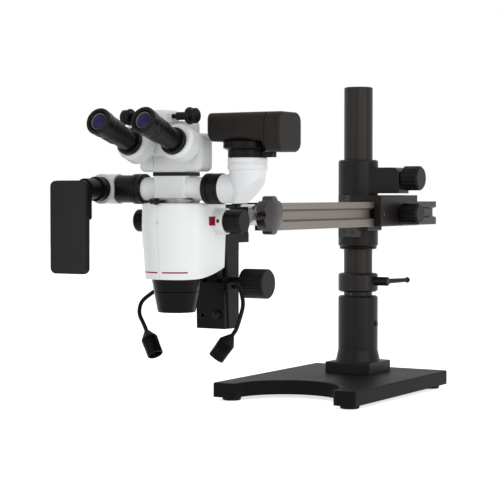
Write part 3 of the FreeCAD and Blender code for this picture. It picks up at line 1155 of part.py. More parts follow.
def objective_housing():
    """Cone with a fine groove where its lower ring screws on."""
    top = OBJECTIVE_TOP_DIA / 2
    foot = OBJECTIVE_FOOT_DIA / 2
    height = BODY_BOTTOM + 2 - OBJECTIVE_BOTTOM
    flange = chassis_foot() - OBJECTIVE_BOTTOM
    groove = OBJECTIVE_GROOVE_Z - OBJECTIVE_BOTTOM
    at_groove = foot + (top - foot) * groove / height
    wall = OBJECTIVE_WALL
    seat = OBJECTIVE_LENS_RECESS + OBJECTIVE_LENS_THICK
    mouth = OBJECTIVE_MOUTH_DIA / 2
    lens = OBJECTIVE_LENS_DIA / 2 + RUNNING_FIT
    return turned([(0, mouth), (0, foot - 1), (1, foot), (groove - 0.5, at_groove), (groove, at_groove - OBJECTIVE_GROOVE),
                   (groove + 0.5, at_groove), (height, top), (height, OBJECTIVE_FLANGE_DIA / 2), (flange, OBJECTIVE_FLANGE_DIA / 2),
                   (flange, OBJECTIVE_FLANGE_DIA / 2 - wall), (height - 2, OBJECTIVE_FLANGE_DIA / 2 - wall),
                   (seat, lens - 2), (seat, lens), (OBJECTIVE_LENS_RECESS, lens), (OBJECTIVE_LENS_RECESS, mouth)],
                  (ARM_X, AXIS_Y, OBJECTIVE_BOTTOM), (0, 0, 1))


def objective_lens():
    """Biconvex front lens held against the shoulder of the housing."""
    radius = OBJECTIVE_LENS_DIA / 2
    crown = OBJECTIVE_LENS_CROWN
    disc = cylinder(OBJECTIVE_LENS_DIA, OBJECTIVE_LENS_THICK, (ARM_X, AXIS_Y, OBJECTIVE_BOTTOM + OBJECTIVE_LENS_RECESS), (0, 0, 1))
    ball_radius = (radius ** 2 + crown ** 2) / (2 * crown)
    lower = Part.makeSphere(ball_radius, V(ARM_X, AXIS_Y, OBJECTIVE_BOTTOM + OBJECTIVE_LENS_RECESS + ball_radius))
    return disc.common(lower)


# Beam splitter and ports

def beam_splitter():
    block = box(ARM_X - SPLITTER_HALF_X, ARM_X + SPLITTER_HALF_X, AXIS_Y - SPLITTER_HALF_Y, AXIS_Y + SPLITTER_HALF_Y,
                SEAT_NECK_TOP, SPLITTER_TOP)
    block = round_edges(block, SPLITTER_EDGE, lambda p: near(abs(p.x - ARM_X), SPLITTER_HALF_X)
                        and near(abs(p.y - AXIS_Y), SPLITTER_HALF_Y))
    cross = cylinder(PORT_TUBE_DIA, 2 * PORT_TUBE_END, (ARM_X - PORT_TUBE_END, AXIS_Y, PORT_Z), (1, 0, 0))
    cones = []
    for side in (-1, 1):
        cones.append(turned([(0, 0), (0, SPLITTER_HALF_Y - 1), (14, PORT_TUBE_DIA / 2), (14, 0)],
                            (ARM_X + side * (SPLITTER_HALF_X - 4), AXIS_Y, PORT_Z), (side, 0, 0)))
    cap = box(ARM_X - 80, ARM_X + 80, AXIS_Y - 40, AXIS_Y + 40, SEAT_NECK_TOP, SPLITTER_TOP)
    body = fuse(block, cross, *[cone.common(cap) for cone in cones])
    bore = cylinder(PORT_BORE, 2 * PORT_TUBE_END, (ARM_X - PORT_TUBE_END, AXIS_Y, PORT_Z), (1, 0, 0))
    neck_clearance = cylinder(SEAT_DIA + 1, SEAT_NECK_TOP - BODY_TOP, (ARM_X, AXIS_Y, BODY_TOP), (0, 0, 1))
    light_holes = [cylinder(TUBE_BORE - 2, SPLITTER_TOP, (x, AXIS_Y, SEAT_NECK_TOP - 1), (0, 0, 1)) for x in tube_places()]
    return cut(body, bore, neck_clearance, *light_holes)


def head_plate():
    x = SPLITTER_HALF_X
    y = SPLITTER_HALF_Y + 0.5
    plate = box(ARM_X - x, ARM_X + x, AXIS_Y - y, AXIS_Y + y, SPLITTER_TOP, SPLITTER_TOP + HEAD_PLATE_THICK)
    holes = [cylinder(TUBE_BORE - 2, HEAD_PLATE_THICK, (x0, AXIS_Y, SPLITTER_TOP), (0, 0, 1)) for x0 in tube_places()]
    return cut(plate, *holes)


def left_coupler():
    """Two-step coupling ring on the left port."""
    start = PORT_TUBE_END - 2.0
    big = LEFT_COUPLER_STEP - start
    whole = LEFT_COUPLER_OUT - start
    r_big = COUPLER_DIA / 2
    r_neck = LEFT_COUPLER_NECK_DIA / 2
    r_in = PORT_TUBE_DIA / 2
    return turned([(0, r_in), (0, r_big - 1), (1, r_big), (big * 0.45, r_big), (big * 0.5, r_big - 1), (big * 0.55, r_big),
                   (big - 1, r_big), (big, r_big - 1), (big, r_neck), (whole - 1.5, r_neck), (whole, r_neck - 1.5),
                   (whole, PORT_BORE / 2), (2, PORT_BORE / 2), (2, r_in)],
                  (ARM_X - start, AXIS_Y, PORT_Z), (-1, 0, 0))


def left_elbow():
    """Mirror elbow that turns the left port towards the operator."""
    corner_x = ARM_X - LEFT_ELBOW_OUT
    radius = LEFT_ELBOW_DIA / 2
    side = cylinder(LEFT_ELBOW_DIA, LEFT_ELBOW_OUT - LEFT_COUPLER_OUT, (corner_x, AXIS_Y, PORT_Z), (1, 0, 0))
    front = cylinder(LEFT_ELBOW_DIA, LEFT_ELBOW_FRONT, (corner_x, AXIS_Y, PORT_Z), (0, -1, 0))
    corner = cylinder(LEFT_ELBOW_DIA, 2 * radius, (corner_x - radius, AXIS_Y, PORT_Z), (1, 0, 0))
    corner = corner.common(cylinder(LEFT_ELBOW_DIA, 2 * radius, (corner_x, AXIS_Y + radius, PORT_Z), (0, -1, 0)))
    corner = corner.common(box(corner_x - radius, ARM_X - LEFT_COUPLER_OUT, AXIS_Y - radius, AXIS_Y + radius,
                               PORT_Z - radius, PORT_Z + radius))
    elbow = fuse(side, front, corner)
    facet = box(-60, 60, radius * 0.75, 60, -60, 60)
    facet.Placement = FreeCAD.Placement(V(corner_x, AXIS_Y, PORT_Z), FreeCAD.Rotation(V(0, 0, 1), 45))
    elbow = elbow.cut(facet)
    bore = cylinder(PORT_BORE, LEFT_ELBOW_OUT - LEFT_COUPLER_OUT, (corner_x, AXIS_Y, PORT_Z), (1, 0, 0))
    front_bore = cylinder(PORT_BORE, LEFT_ELBOW_FRONT, (corner_x, AXIS_Y, PORT_Z), (0, -1, 0))
    seat = cylinder(LEFT_COUPLER_NECK_DIA, LEFT_ELBOW_DIA, (ARM_X - LEFT_COUPLER_OUT, AXIS_Y, PORT_Z), (1, 0, 0))
    return cut(elbow, bore, front_bore, seat)


def phone_holder():
    """Turning ring, neck and back plate that carry the display."""
    x = ARM_X - LEFT_ELBOW_OUT
    y = AXIS_Y - LEFT_ELBOW_FRONT - FACE_GAP
    ring = tube(LEFT_RING_DIA, PORT_BORE - 4, LEFT_RING_LENGTH, (x, y, PORT_Z), (0, -1, 0))
    ring = chamfer_edges(ring, 1.2, lambda p: near(p.y, y) and math.hypot(p.x - x, p.z - PORT_Z) > LEFT_RING_DIA / 2 - 1)
    spigot = tube(PORT_BORE - 2 * RUNNING_FIT, PORT_BORE - 4, SPIGOT_LENGTH + 1, (x, y + SPIGOT_LENGTH, PORT_Z), (0, -1, 0))
    neck = tube(LEFT_NECK_DIA, PORT_BORE - 4, LEFT_NECK_LENGTH, (x, y - LEFT_RING_LENGTH, PORT_Z), (0, -1, 0))
    plate_y = y - LEFT_RING_LENGTH - LEFT_NECK_LENGTH
    top = PORT_Z + DISPLAY_ABOVE
    plate = box(x + DISPLAY_RIGHT - DISPLAY_WIDTH + 2, x + DISPLAY_RIGHT + 1.0, plate_y - HOLDER_THICK, plate_y, top - HOLDER_HEIGHT, top + 0.5)
    plate = round_edges(plate, 4.0, lambda p: near(p.y, plate_y - HOLDER_THICK / 2))
    hook = box(x + DISPLAY_RIGHT + 0.05, x + DISPLAY_RIGHT + 1.0, plate_y - HOLDER_THICK - DISPLAY_THICK * 0.6, plate_y - HOLDER_THICK + 0.5,
               top - HOLDER_HEIGHT + 6, top - 8)
    hole = cylinder(PORT_BORE - 4, 2 * HOLDER_THICK, (x, plate_y + HOLDER_THICK, PORT_Z), (0, -1, 0))
    return fuse(ring, spigot, neck, plate, hook).cut(hole)


def display_back_y():
    return AXIS_Y - LEFT_ELBOW_FRONT - FACE_GAP - LEFT_RING_LENGTH - LEFT_NECK_LENGTH - HOLDER_THICK


def phone_display():
    x1 = ARM_X - LEFT_ELBOW_OUT + DISPLAY_RIGHT
    top = PORT_Z + DISPLAY_ABOVE
    y1 = display_back_y()
    panel = box(x1 - DISPLAY_WIDTH, x1, y1 - DISPLAY_THICK, y1, top - DISPLAY_HEIGHT, top)
    panel = round_edges(panel, DISPLAY_ROUND, lambda p: near(p.y, y1 - DISPLAY_THICK / 2))
    return round_edges(panel, DISPLAY_EDGE, lambda p: near(p.y, y1) or near(p.y, y1 - DISPLAY_THICK))


def right_coupler():
    """Coupling ring on the right port, with a groove near its inner end."""
    start = PORT_TUBE_END - 2.0
    whole = RIGHT_COUPLER_OUT - start
    r_out = COUPLER_DIA / 2
    r_in = PORT_TUBE_DIA / 2
    return turned([(0, r_in), (0, r_out - 1), (1, r_out), (7.5, r_out), (8, r_out - 1.2), (9.5, r_out - 1.2), (10, r_out),
                   (whole - 5, r_out), (whole - 4.5, r_out - 0.6), (whole - 4, r_out), (whole - 1, r_out), (whole, r_out - 1),
                   (whole, PORT_BORE / 2), (2, PORT_BORE / 2), (2, r_in)],
                  (ARM_X + start, AXIS_Y, PORT_Z), (1, 0, 0))


def right_elbow():
    """Mirror elbow that turns the right port up to the camera."""
    corner_x = ARM_X + RIGHT_ELBOW_OUT
    side = cylinder(RIGHT_ELBOW_DIA, RIGHT_ELBOW_OUT - RIGHT_COUPLER_OUT, (ARM_X + RIGHT_COUPLER_OUT, AXIS_Y, PORT_Z), (1, 0, 0))
    foot = PORT_Z - RIGHT_ELBOW_DIA / 2
    riser = turned([(0, 0), (0, RIGHT_ELBOW_DIA / 2 + 1), (RIGHT_ELBOW_DIA / 2, RIGHT_TUBE_FOOT_DIA / 2),
                    (RIGHT_COLLAR_BOTTOM - foot - 2, RIGHT_TUBE_TOP_DIA / 2 - 2.0), (RIGHT_COLLAR_BOTTOM - foot, RIGHT_TUBE_TOP_DIA / 2),
                    (RIGHT_COLLAR_BOTTOM + 6 - foot, RIGHT_TUBE_TOP_DIA / 2), (RIGHT_COLLAR_BOTTOM + 6.5 - foot, RIGHT_TUBE_TOP_DIA / 2 - RIGHT_COLLAR_GROOVE),
                    (RIGHT_COLLAR_BOTTOM + 7.5 - foot, RIGHT_TUBE_TOP_DIA / 2 - RIGHT_COLLAR_GROOVE), (RIGHT_COLLAR_BOTTOM + 8 - foot, RIGHT_TUBE_TOP_DIA / 2),
                    (RIGHT_COLLAR_TOP - foot - 1, RIGHT_TUBE_TOP_DIA / 2), (RIGHT_COLLAR_TOP - foot, RIGHT_TUBE_TOP_DIA / 2 - 1), (RIGHT_COLLAR_TOP - foot, 0)],
                   (corner_x, AXIS_Y, foot), (0, 0, 1))
    elbow = fuse(side, riser)
    facet = box(ELBOW_FACET, 80, -60, 60, -60, 60)
    facet.Placement = FreeCAD.Placement(V(corner_x, AXIS_Y, PORT_Z), FreeCAD.Rotation(V(0, 1, 0), 45))
    bore = cylinder(ELBOW_BORE, RIGHT_ELBOW_OUT - RIGHT_COUPLER_OUT, (ARM_X + RIGHT_COUPLER_OUT, AXIS_Y, PORT_Z), (1, 0, 0))
    up_bore = cylinder(ELBOW_BORE, RIGHT_COLLAR_TOP - PORT_Z, (corner_x, AXIS_Y, PORT_Z), (0, 0, 1))
    seat_depth = SPIGOT_LENGTH + 1
    seat = cylinder(PORT_BORE, seat_depth, (corner_x, AXIS_Y, RIGHT_COLLAR_TOP - seat_depth), (0, 0, 1))
    return cut(elbow, facet, bore, up_bore, seat)


def camera_adapter():
    """Turning adapter between the elbow's collar and the camera, with its release tab."""
    x = ARM_X + RIGHT_ELBOW_OUT
    z = RIGHT_COLLAR_TOP + FACE_GAP
    ring = tube(ADAPTER_DIA, PORT_BORE - 4, ADAPTER_HEIGHT, (x, AXIS_Y, z), (0, 0, 1))
    spigot = tube(PORT_BORE - 2 * RUNNING_FIT, PORT_BORE - 4, SPIGOT_LENGTH + 1, (x, AXIS_Y, z - SPIGOT_LENGTH), (0, 0, 1))
    rise = camera_floor() - z - ADAPTER_HEIGHT
    upper = turned([(0, PORT_BORE / 2 - 2), (0, ADAPTER_DIA / 2), (3, ADAPTER_UPPER_DIA / 2), (rise - 1, ADAPTER_UPPER_DIA / 2),
                    (rise, ADAPTER_UPPER_DIA / 2 - 1), (rise, PORT_BORE / 2 - 2)], (x, AXIS_Y, z + ADAPTER_HEIGHT), (0, 0, 1))
    tab_end = x + ADAPTER_DIA / 2 + ADAPTER_TAB_REACH
    tab = box(x + ADAPTER_DIA / 2 - 2, tab_end, AXIS_Y - 7, AXIS_Y + 7, z, z + ADAPTER_HEIGHT - 2)
    tab = round_edges(tab, 1.5, lambda p: near(p.x, tab_end))
    return fuse(ring, spigot, upper, tab)


def camera_floor():
    """Underside of the camera's slim left part, where the adapter screws in."""
    return CAMERA_TOP - CAMERA_HEIGHT_LEFT


def camera_section(x, half_depth, height, rounding):
    """Rounded-square section of the camera at x, hung from its flat top."""
    rect = box(x, x + 1, AXIS_Y - half_depth, AXIS_Y + half_depth, CAMERA_TOP - height, CAMERA_TOP)
    rect = round_edges(rect, rounding, lambda p: near(p.x, x + 0.5))
    face = [f for f in rect.Faces if near(f.CenterOfMass.x, x)][0]
    return face.OuterWire


def camera_body():
    """Camera: slim at its left end, deeper towards the rounded cap at its right end."""
    x_axis = ARM_X + RIGHT_ELBOW_OUT
    left = x_axis - CAMERA_LEFT
    right = x_axis + CAMERA_RIGHT
    shoulder = x_axis + ADAPTER_UPPER_DIA / 2 + 1.5
    seam = right - CAMERA_CAP_LENGTH
    half_left = CAMERA_LEFT_HALF_DEPTH
    end = Part.makeLoft([camera_section(left, half_left - 3, CAMERA_HEIGHT_LEFT - 4, CAMERA_ROUND - 4),
                         camera_section(left + 4, half_left, CAMERA_HEIGHT_LEFT, CAMERA_ROUND - 3)], True, True)
    slim = Part.makeLoft([camera_section(left + 4, half_left, CAMERA_HEIGHT_LEFT, CAMERA_ROUND - 3),
                          camera_section(shoulder, half_left + 3, CAMERA_HEIGHT_LEFT, CAMERA_ROUND - 2)], True, True)
    swell = Part.makeLoft([camera_section(shoulder, half_left + 3, CAMERA_HEIGHT_LEFT, CAMERA_ROUND - 2),
                           camera_section(seam, CAMERA_HALF_DEPTH, CAMERA_HEIGHT_RIGHT, CAMERA_ROUND)], True, True)
    cap = Part.Face(camera_section(seam, CAMERA_HALF_DEPTH, CAMERA_HEIGHT_RIGHT, CAMERA_ROUND)).extrude(V(CAMERA_CAP_LENGTH, 0, 0))
    cap = round_edges(cap, 4.0, lambda p: near(p.x, right))
    inner = Part.Face(camera_section(seam, CAMERA_HALF_DEPTH - CAMERA_SEAM, CAMERA_HEIGHT_RIGHT - 2 * CAMERA_SEAM,
                                     CAMERA_ROUND - CAMERA_SEAM))
    inner.translate(V(0, 0, -CAMERA_SEAM))
    groove = box(seam, seam + 1.2, AXIS_Y - 60, AXIS_Y + 60, CAMERA_TOP - 80, CAMERA_TOP + 10).cut(inner.extrude(V(1.2, 0, 0)))
    return fuse(end, slim, swell, cap).cut(groove)


# Binocular head

def head_base():
    """Fixed foot of the inclinable head: a block with a round pivot drum across its top."""
    z0 = SPLITTER_TOP + HEAD_PLATE_THICK
    block = box(ARM_X - HEAD_BASE_HALF, ARM_X + HEAD_BASE_HALF, HEAD_PIVOT_Y - HEAD_BASE_HALF_Y, HEAD_PIVOT_Y + HEAD_BASE_HALF_Y, z0, HEAD_PIVOT_Z)
    drum = cylinder(HEAD_PIVOT_DIA, 2 * HEAD_BASE_HALF, (ARM_X - HEAD_BASE_HALF, HEAD_PIVOT_Y, HEAD_PIVOT_Z), (1, 0, 0))
    pins = cylinder(HEAD_PIVOT_PIN, 2 * (HEAD_BASE_HALF + 12), (ARM_X - HEAD_BASE_HALF - 12, HEAD_PIVOT_Y, HEAD_PIVOT_Z), (1, 0, 0))
    return fuse(block, drum, pins)


def head_housing():
    """Tilting housing: two rounded cheeks beside the base, a bridge and the top box."""
    inner = HEAD_BASE_HALF + FACE_GAP
    cheek = box(ARM_X + inner, ARM_X + inner + CHEEK_THICK, HEAD_PIVOT_Y - CHEEK_FRONT, HEAD_PIVOT_Y + CHEEK_REAR, CHEEK_BOTTOM, CHEEK_TOP)
    cheek = round_edges(cheek, CHEEK_ROUND, lambda p: near(p.x, ARM_X + inner + CHEEK_THICK))
    cheek = round_edges(cheek, CHEEK_ROUND - 4, lambda p: near(p.z, CHEEK_BOTTOM) and near(p.x, ARM_X + inner + CHEEK_THICK / 2 - CHEEK_ROUND / 2, 3))
    bridge_half = inner + 4
    bridge = box(ARM_X - bridge_half, ARM_X + bridge_half, HEAD_PIVOT_Y - CHEEK_FRONT - 12, HEAD_PIVOT_Y + CHEEK_REAR - 4, HEAD_PIVOT_Z, TOP_BOX_BOTTOM + 2)
    bridge = round_edges(bridge, 6.0, lambda p: near(p.y, HEAD_PIVOT_Y + CHEEK_REAR - 4) and near(p.z, TOP_BOX_BOTTOM + 2))
    drum_clearance = cylinder(HEAD_PIVOT_DIA + 2 * FACE_GAP, 2 * inner, (ARM_X - inner, HEAD_PIVOT_Y, HEAD_PIVOT_Z), (1, 0, 0))
    block_clearance = box(ARM_X - inner, ARM_X + inner, HEAD_PIVOT_Y - 40, HEAD_PIVOT_Y + 40, CHEEK_BOTTOM - 5, HEAD_PIVOT_Z + 4)
    top_box = box(ARM_X - TOP_BOX_HALF, ARM_X + TOP_BOX_HALF, TOP_BOX_FRONT, TOP_BOX_REAR, TOP_BOX_BOTTOM, TOP_BOX_TOP)
    top_box = round_edges(top_box, 5.0, lambda p: near(p.z, TOP_BOX_TOP))
    pin_bore = cylinder(HEAD_PIVOT_PIN + 2 * RUNNING_FIT, 2 * inner + 26, (ARM_X - inner - 13, HEAD_PIVOT_Y, HEAD_PIVOT_Z), (1, 0, 0))
    knob_bore = cylinder(IPD_SHAFT_DIA + 2 * RUNNING_FIT, 2 * TOP_BOX_HALF, (ARM_X - TOP_BOX_HALF, IPD_KNOB_Y, IPD_KNOB_Z), (1, 0, 0))
    housing = fuse(bridge, top_box).cut(block_clearance)
    housing = fuse(housing, cheek, mirrored(cheek))
    rail = cut(slide_rail(), *[prism_space(side) for side in (-1, 1)])
    housing = cut(housing, drum_clearance, pin_bore, knob_bore, *[prism_space(side) for side in (-1, 1)])
    return fuse(housing, rail)


def eye_axis():
    tilt = math.radians(EYE_TILT)
    return (0, -math.cos(tilt), math.sin(tilt))


def eye_point(side, along):
    """A point on an eye tube's axis, measured forward from the prism housing's face."""
    axis = eye_axis()
    return (ARM_X + side * EYE_SPACING / 2, EYE_FACE_Y + along * axis[1], EYE_FACE_Z + along * axis[2])


def prism_point(side, along):
    """A point on a prism housing's own axis, a little above the eye tube's."""
    tilt = math.radians(EYE_TILT)
    point = eye_point(side, along)
    return (point[0], point[1] + PRISM_RISE * math.sin(tilt), point[2] + PRISM_RISE * math.cos(tilt))


def slide_rail():
    """Rail across the bridge's front on which the prism housings slide apart."""
    axis = V(*eye_axis())
    rail = box(-EYE_SPACING / 2 - 12, EYE_SPACING / 2 + 12, -5, 5, 0, 14)
    rail.Placement = FreeCAD.Placement(V(ARM_X, EYE_FACE_Y, EYE_FACE_Z) - axis * (PRISM_DEPTH + FACE_GAP + 14),
                                       FreeCAD.Rotation(V(0, 0, 1), axis))
    return rail


def prism_space(side):
    """The room that a prism housing sweeps as the eye distance changes."""
    inward = 7.0
    outward = 5.0
    axis = V(*eye_axis())
    low = -inward if side > 0 else -outward
    high = outward if side > 0 else inward
    shapes = []
    radius = PRISM_DIA / 2 + FACE_GAP
    depth = PRISM_DEPTH + FACE_GAP
    for shift in (low, high):
        start = V(*prism_point(side, 0)) - axis * depth + V(shift, 0, 0)
        shapes.append(Part.makeCylinder(radius, depth + 30, start, axis))
    slab = box(low, high, -radius, radius, 0, depth + 30)
    slab.Placement = FreeCAD.Placement(V(*prism_point(side, 0)) - axis * depth, FreeCAD.Rotation(V(0, 0, 1), axis))
    return fuse(*shapes, slab)


def prism_housing(side):
    """Round prism housing with a stepped front ring."""
    drum = turned([(0, 0), (0, PRISM_DIA / 2 - PRISM_EDGE), (PRISM_EDGE, PRISM_DIA / 2), (PRISM_DEPTH - 6, PRISM_DIA / 2),
                   (PRISM_DEPTH - 5.5, PRISM_DIA / 2 - 0.8), (PRISM_DEPTH - 5, PRISM_DIA / 2 - 0.8), (PRISM_DEPTH - 4.5, PRISM_DIA / 2 - 0.4),
                   (PRISM_DEPTH, PRISM_DIA / 2 - 2.5), (PRISM_DEPTH, 0)],
                  prism_point(side, -PRISM_DEPTH), eye_axis())
    bore = cylinder(EYE_TUBE_BORE, PRISM_DEPTH - 8, eye_point(side, -PRISM_DEPTH + 8), eye_axis())
    return drum.cut(bore)


def eye_tube(side):
    """Black tube that screws into the prism housing, with its collar ring."""
    ring = TUBE_RING_LENGTH
    bore = EYE_TUBE_BORE / 2
    return turned([(0, bore), (0, TUBE_RING_DIA / 2), (ring - 1, TUBE_RING_DIA / 2), (ring, TUBE_RING_DIA / 2 - 1), (ring, EYE_TUBE_DIA / 2),
                   (EYE_TUBE_LENGTH, EYE_TUBE_DIA / 2), (EYE_TUBE_LENGTH, bore)], eye_point(side, 0), eye_axis())


def eyepiece(side):
    """Eyepiece with its barrel in the tube, a dioptre ring and a rolled eyecup."""
    start = EYE_TUBE_LENGTH + FACE_GAP
    radius = EYEPIECE_DIA / 2
    length = EYEPIECE_LENGTH
    rear = EYEPIECE_REAR_DIA / 2
    cup = length * 0.6
    body = turned([(0, 0), (0, rear - 1), (1, rear), (cup - 8, rear + 0.4), (cup - 7.5, rear - 0.2), (cup - 6.5, rear - 0.2),
                   (cup - 6, rear + 0.5), (cup, rear + 0.6), (cup + 4, radius - 0.4), (length - 2, radius), (length, radius - 1.2),
                   (length, EYECUP_BORE / 2), (length - EYECUP_DEPTH, EYECUP_BORE / 2 - 2), (length - EYECUP_DEPTH, 0)],
                  eye_point(side, start), eye_axis())
    barrel = cylinder(EYEPIECE_BARREL, EYEPIECE_SOCKET + 1, eye_point(side, start - EYEPIECE_SOCKET), eye_axis())
    return fuse(body, barrel)


def ipd_knobs():
    """Cross shaft with a stepped knob at each end, which sets the eye distance."""
    shaft = cylinder(IPD_SHAFT_DIA, 2 * IPD_END_OUT - 6, (ARM_X - IPD_END_OUT + 3, IPD_KNOB_Y, IPD_KNOB_Z), (1, 0, 0))
    inner = IPD_HUB_IN
    profile = [(0, 0), (0, IPD_HUB_DIA / 2), (IPD_DISC_IN - inner, IPD_HUB_DIA / 2), (IPD_DISC_IN - inner, IPD_DISC_DIA / 2 - 1),
               (IPD_DISC_IN - inner + 1.5, IPD_DISC_DIA / 2), (IPD_DISC_OUT - inner - 1.5, IPD_DISC_DIA / 2), (IPD_DISC_OUT - inner, IPD_DISC_DIA / 2 - 1.5),
               (IPD_DISC_OUT - inner, IPD_END_DIA / 2 - 1), (IPD_DISC_OUT - inner + 1, IPD_END_DIA / 2), (IPD_END_OUT - inner - 2, IPD_END_DIA / 2),
               (IPD_END_OUT - inner, IPD_END_DIA / 2 - 2), (IPD_END_OUT - inner, 0)]
    right = turned(profile, (ARM_X + inner, IPD_KNOB_Y, IPD_KNOB_Z), (1, 0, 0))
    return fuse(shaft, right, mirrored(right))


# Lamps

def power_jack():
    """Socket insert for the lamp's supply, on the front of the box."""
    return tube(JACK_DIA - 2 * RUNNING_FIT, JACK_BORE, JACK_DEPTH - 2.5, (JACK_X, column_front(JACK_Z) - 0.5, JACK_Z), (0, 1, 0))


def lamp_axis(side):
    return V(-side * LAMP_AIM, -LAMP_LEAN, -LAMP_DROP).normalize()


def lamp_top(side):
    return V(ARM_X + side * LAMP_OUT, LAMP_TOP_Y, LAMP_TOP_Z)


def lamp_neck(side):
    """Bent neck from its seat in the box's side to the lamp."""
    bends = RIGHT_NECK if side > 0 else LEFT_NECK
    root = V(ARM_X + side * (FRONT_BOX_HALF - LAMP_ROOT_DEPTH + 0.5), LAMP_ROOT_Y, LAMP_ROOT_Z)
    points = [root] + [V(ARM_X + side * out, y, z) for out, y, z in bends]
    points += [lamp_top(side) - lamp_axis(side) * NECK_STRAIGHT, lamp_top(side)]
    return bent_rod(points, NECK_DIA)


def lamp_head(side):
    """Lamp: a cone, a grooved grip and a plain barrel with the lens recess."""
    radius = LAMP_DIA / 2
    neck = NECK_DIA / 2
    profile = [(0, 0), (0, neck + 0.6), (LAMP_CONE, radius - 0.5)]
    grooves = 4
    step = 2.6
    for number in range(grooves):
        base = LAMP_CONE + 0.8 + number * step
        profile += [(base, radius), (base + step - 1.0, radius), (base + step - 0.5, radius - 0.7)]
    base = LAMP_CONE + 0.8 + grooves * step
    end = LAMP_CONE + LAMP_LENGTH
    profile += [(base, radius - 0.3), (end - 1, radius - 0.3), (end, radius - 1.3), (end, LAMP_BORE / 2),
                (end - LAMP_BORE_DEPTH, LAMP_BORE / 2 - 2), (end - LAMP_BORE_DEPTH, 0)]
    return turned(profile, lamp_top(side), lamp_axis(side))


def dimmer_knob():
    y = column_front(DIMMER_Z) - FACE_GAP - 0.6
    knob = turned([(0, 0), (0, DIMMER_DIA / 2), (DIMMER_LENGTH - 3, DIMMER_DIA / 2 - 0.6), (DIMMER_LENGTH - 1, DIMMER_DIA / 2 - 2),
                   (DIMMER_LENGTH, DIMMER_DIA / 2 - 4.5), (DIMMER_LENGTH, 0)], (DIMMER_X, y, DIMMER_Z), (0, -1, 0))
    pin = cylinder(SPINDLE_DIA / 2, 8, (DIMMER_X, y - 1, DIMMER_Z), (0, 1, 0))
    return fuse(knob, pin)


def all_parts():
    parts = {
        "base_plate": base_plate(), "base_feet": base_feet(), "stand_screws": stand_screws(),
        "column_socket": column_socket(), "column_bar": column_bar(),
        "safety_collar": safety_collar(), "collar_lever": collar_lever(),
        "carriage_bush": carriage_bush(), "carriage_sleeve": carriage_sleeve(), "arm_guide": arm_guide(),
        "guide_shoes": guide_shoes(), "carriage_screws": carriage_screws(),
        "height_knob": height_knob(), "arm_lock_knob": arm_lock_knob(),
        "arm_bar": arm_bar(), "arm_head": arm_head(), "tilt_axle": tilt_axle(), "star_knob": star_knob(),
        "tilt_barrel": tilt_barrel(), "focus_column": focus_column(), "tension_lever": tension_lever(),
        "focus_slide": focus_slide(), "focus_rack": focus_rack(), "focus_shaft": focus_shaft(), "focus_knobs": focus_knobs(),
        "zoom_cover_left": cover_half(-1), "zoom_cover_right": cover_half(1), "cover_screws": cover_screws(),
        "zoom_chassis": zoom_chassis(), "zoom_lens_cells": zoom_lens_cells(),
        "zoom_shaft": zoom_shaft(), "zoom_knobs": zoom_knobs(), "thumb_screw": thumb_screw(),
        "objective_housing": objective_housing(), "objective_lens": objective_lens(),
        "beam_splitter": beam_splitter(), "head_plate": head_plate(),
        "left_coupler": left_coupler(), "left_elbow": left_elbow(), "phone_holder": phone_holder(), "phone_display": phone_display(),
        "right_coupler": right_coupler(), "right_elbow": right_elbow(), "camera_adapter": camera_adapter(), "camera_body": camera_body(),
        "head_base": head_base(), "head_housing": head_housing(), "ipd_knobs": ipd_knobs(),
        "power_jack": power_jack(), "dimmer_knob": dimmer_knob(),
    }
    for side, word in ((-1, "left"), (1, "right")):
        parts["prism_housing_" + word] = prism_housing(side)
        parts["eye_tube_" + word] = eye_tube(side)
        parts["eyepiece_" + word] = eyepiece(side)
        parts["lamp_neck_" + word] = lamp_neck(side)
        parts["lamp_head_" + word] = lamp_head(side)
    return parts


def footprint_shift(parts):
    """The move that puts the origin under the middle of the whole instrument."""
    whole = Part.makeCompound(list(parts.values())).optimalBoundingBox(False)
    return V(-whole.Center.x, -whole.Center.y, -whole.ZMin)


def main():
    os.makedirs("parts", exist_ok=True)
    parts = all_parts()
    shift = footprint_shift(parts)
    for name, shape in parts.items():
        shape.translate(shift)
        shape.exportStep("parts/" + name + ".step")
    print(len(parts), "nodes, moved by", [round(c, 4) for c in shift])


main()
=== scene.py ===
import math

import bmesh
import bpy
from mathutils import Matrix, Vector


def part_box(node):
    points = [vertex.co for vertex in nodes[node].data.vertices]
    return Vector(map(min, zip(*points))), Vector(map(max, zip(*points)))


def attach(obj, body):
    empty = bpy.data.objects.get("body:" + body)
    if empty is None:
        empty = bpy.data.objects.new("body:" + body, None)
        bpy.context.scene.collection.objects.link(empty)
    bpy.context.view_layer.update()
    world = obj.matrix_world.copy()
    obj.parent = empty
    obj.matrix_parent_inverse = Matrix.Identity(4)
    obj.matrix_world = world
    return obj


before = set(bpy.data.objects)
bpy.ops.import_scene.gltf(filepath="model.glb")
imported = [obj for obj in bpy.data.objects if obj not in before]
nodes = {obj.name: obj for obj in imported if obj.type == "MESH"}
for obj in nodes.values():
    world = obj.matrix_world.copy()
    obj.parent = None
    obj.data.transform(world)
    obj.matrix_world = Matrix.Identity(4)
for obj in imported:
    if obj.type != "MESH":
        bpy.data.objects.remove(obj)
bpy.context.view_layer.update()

# BASE PLATE AND FEET
# A thick cast-iron plate with a round cut-out between two front horns, ground flat and
# powder coated black. Four turned rubber feet are screwed under its corners.


def linear(code):
    """An sRGB hex colour as the linear values that a shader takes."""
    parts = [int(code[i:i + 2], 16) / 255 for i in (1, 3, 5)]
    return tuple(p / 12.92 if p <= 0.04045 else ((p + 0.055) / 1.055) ** 2.4 for p in parts) + (1.0,)


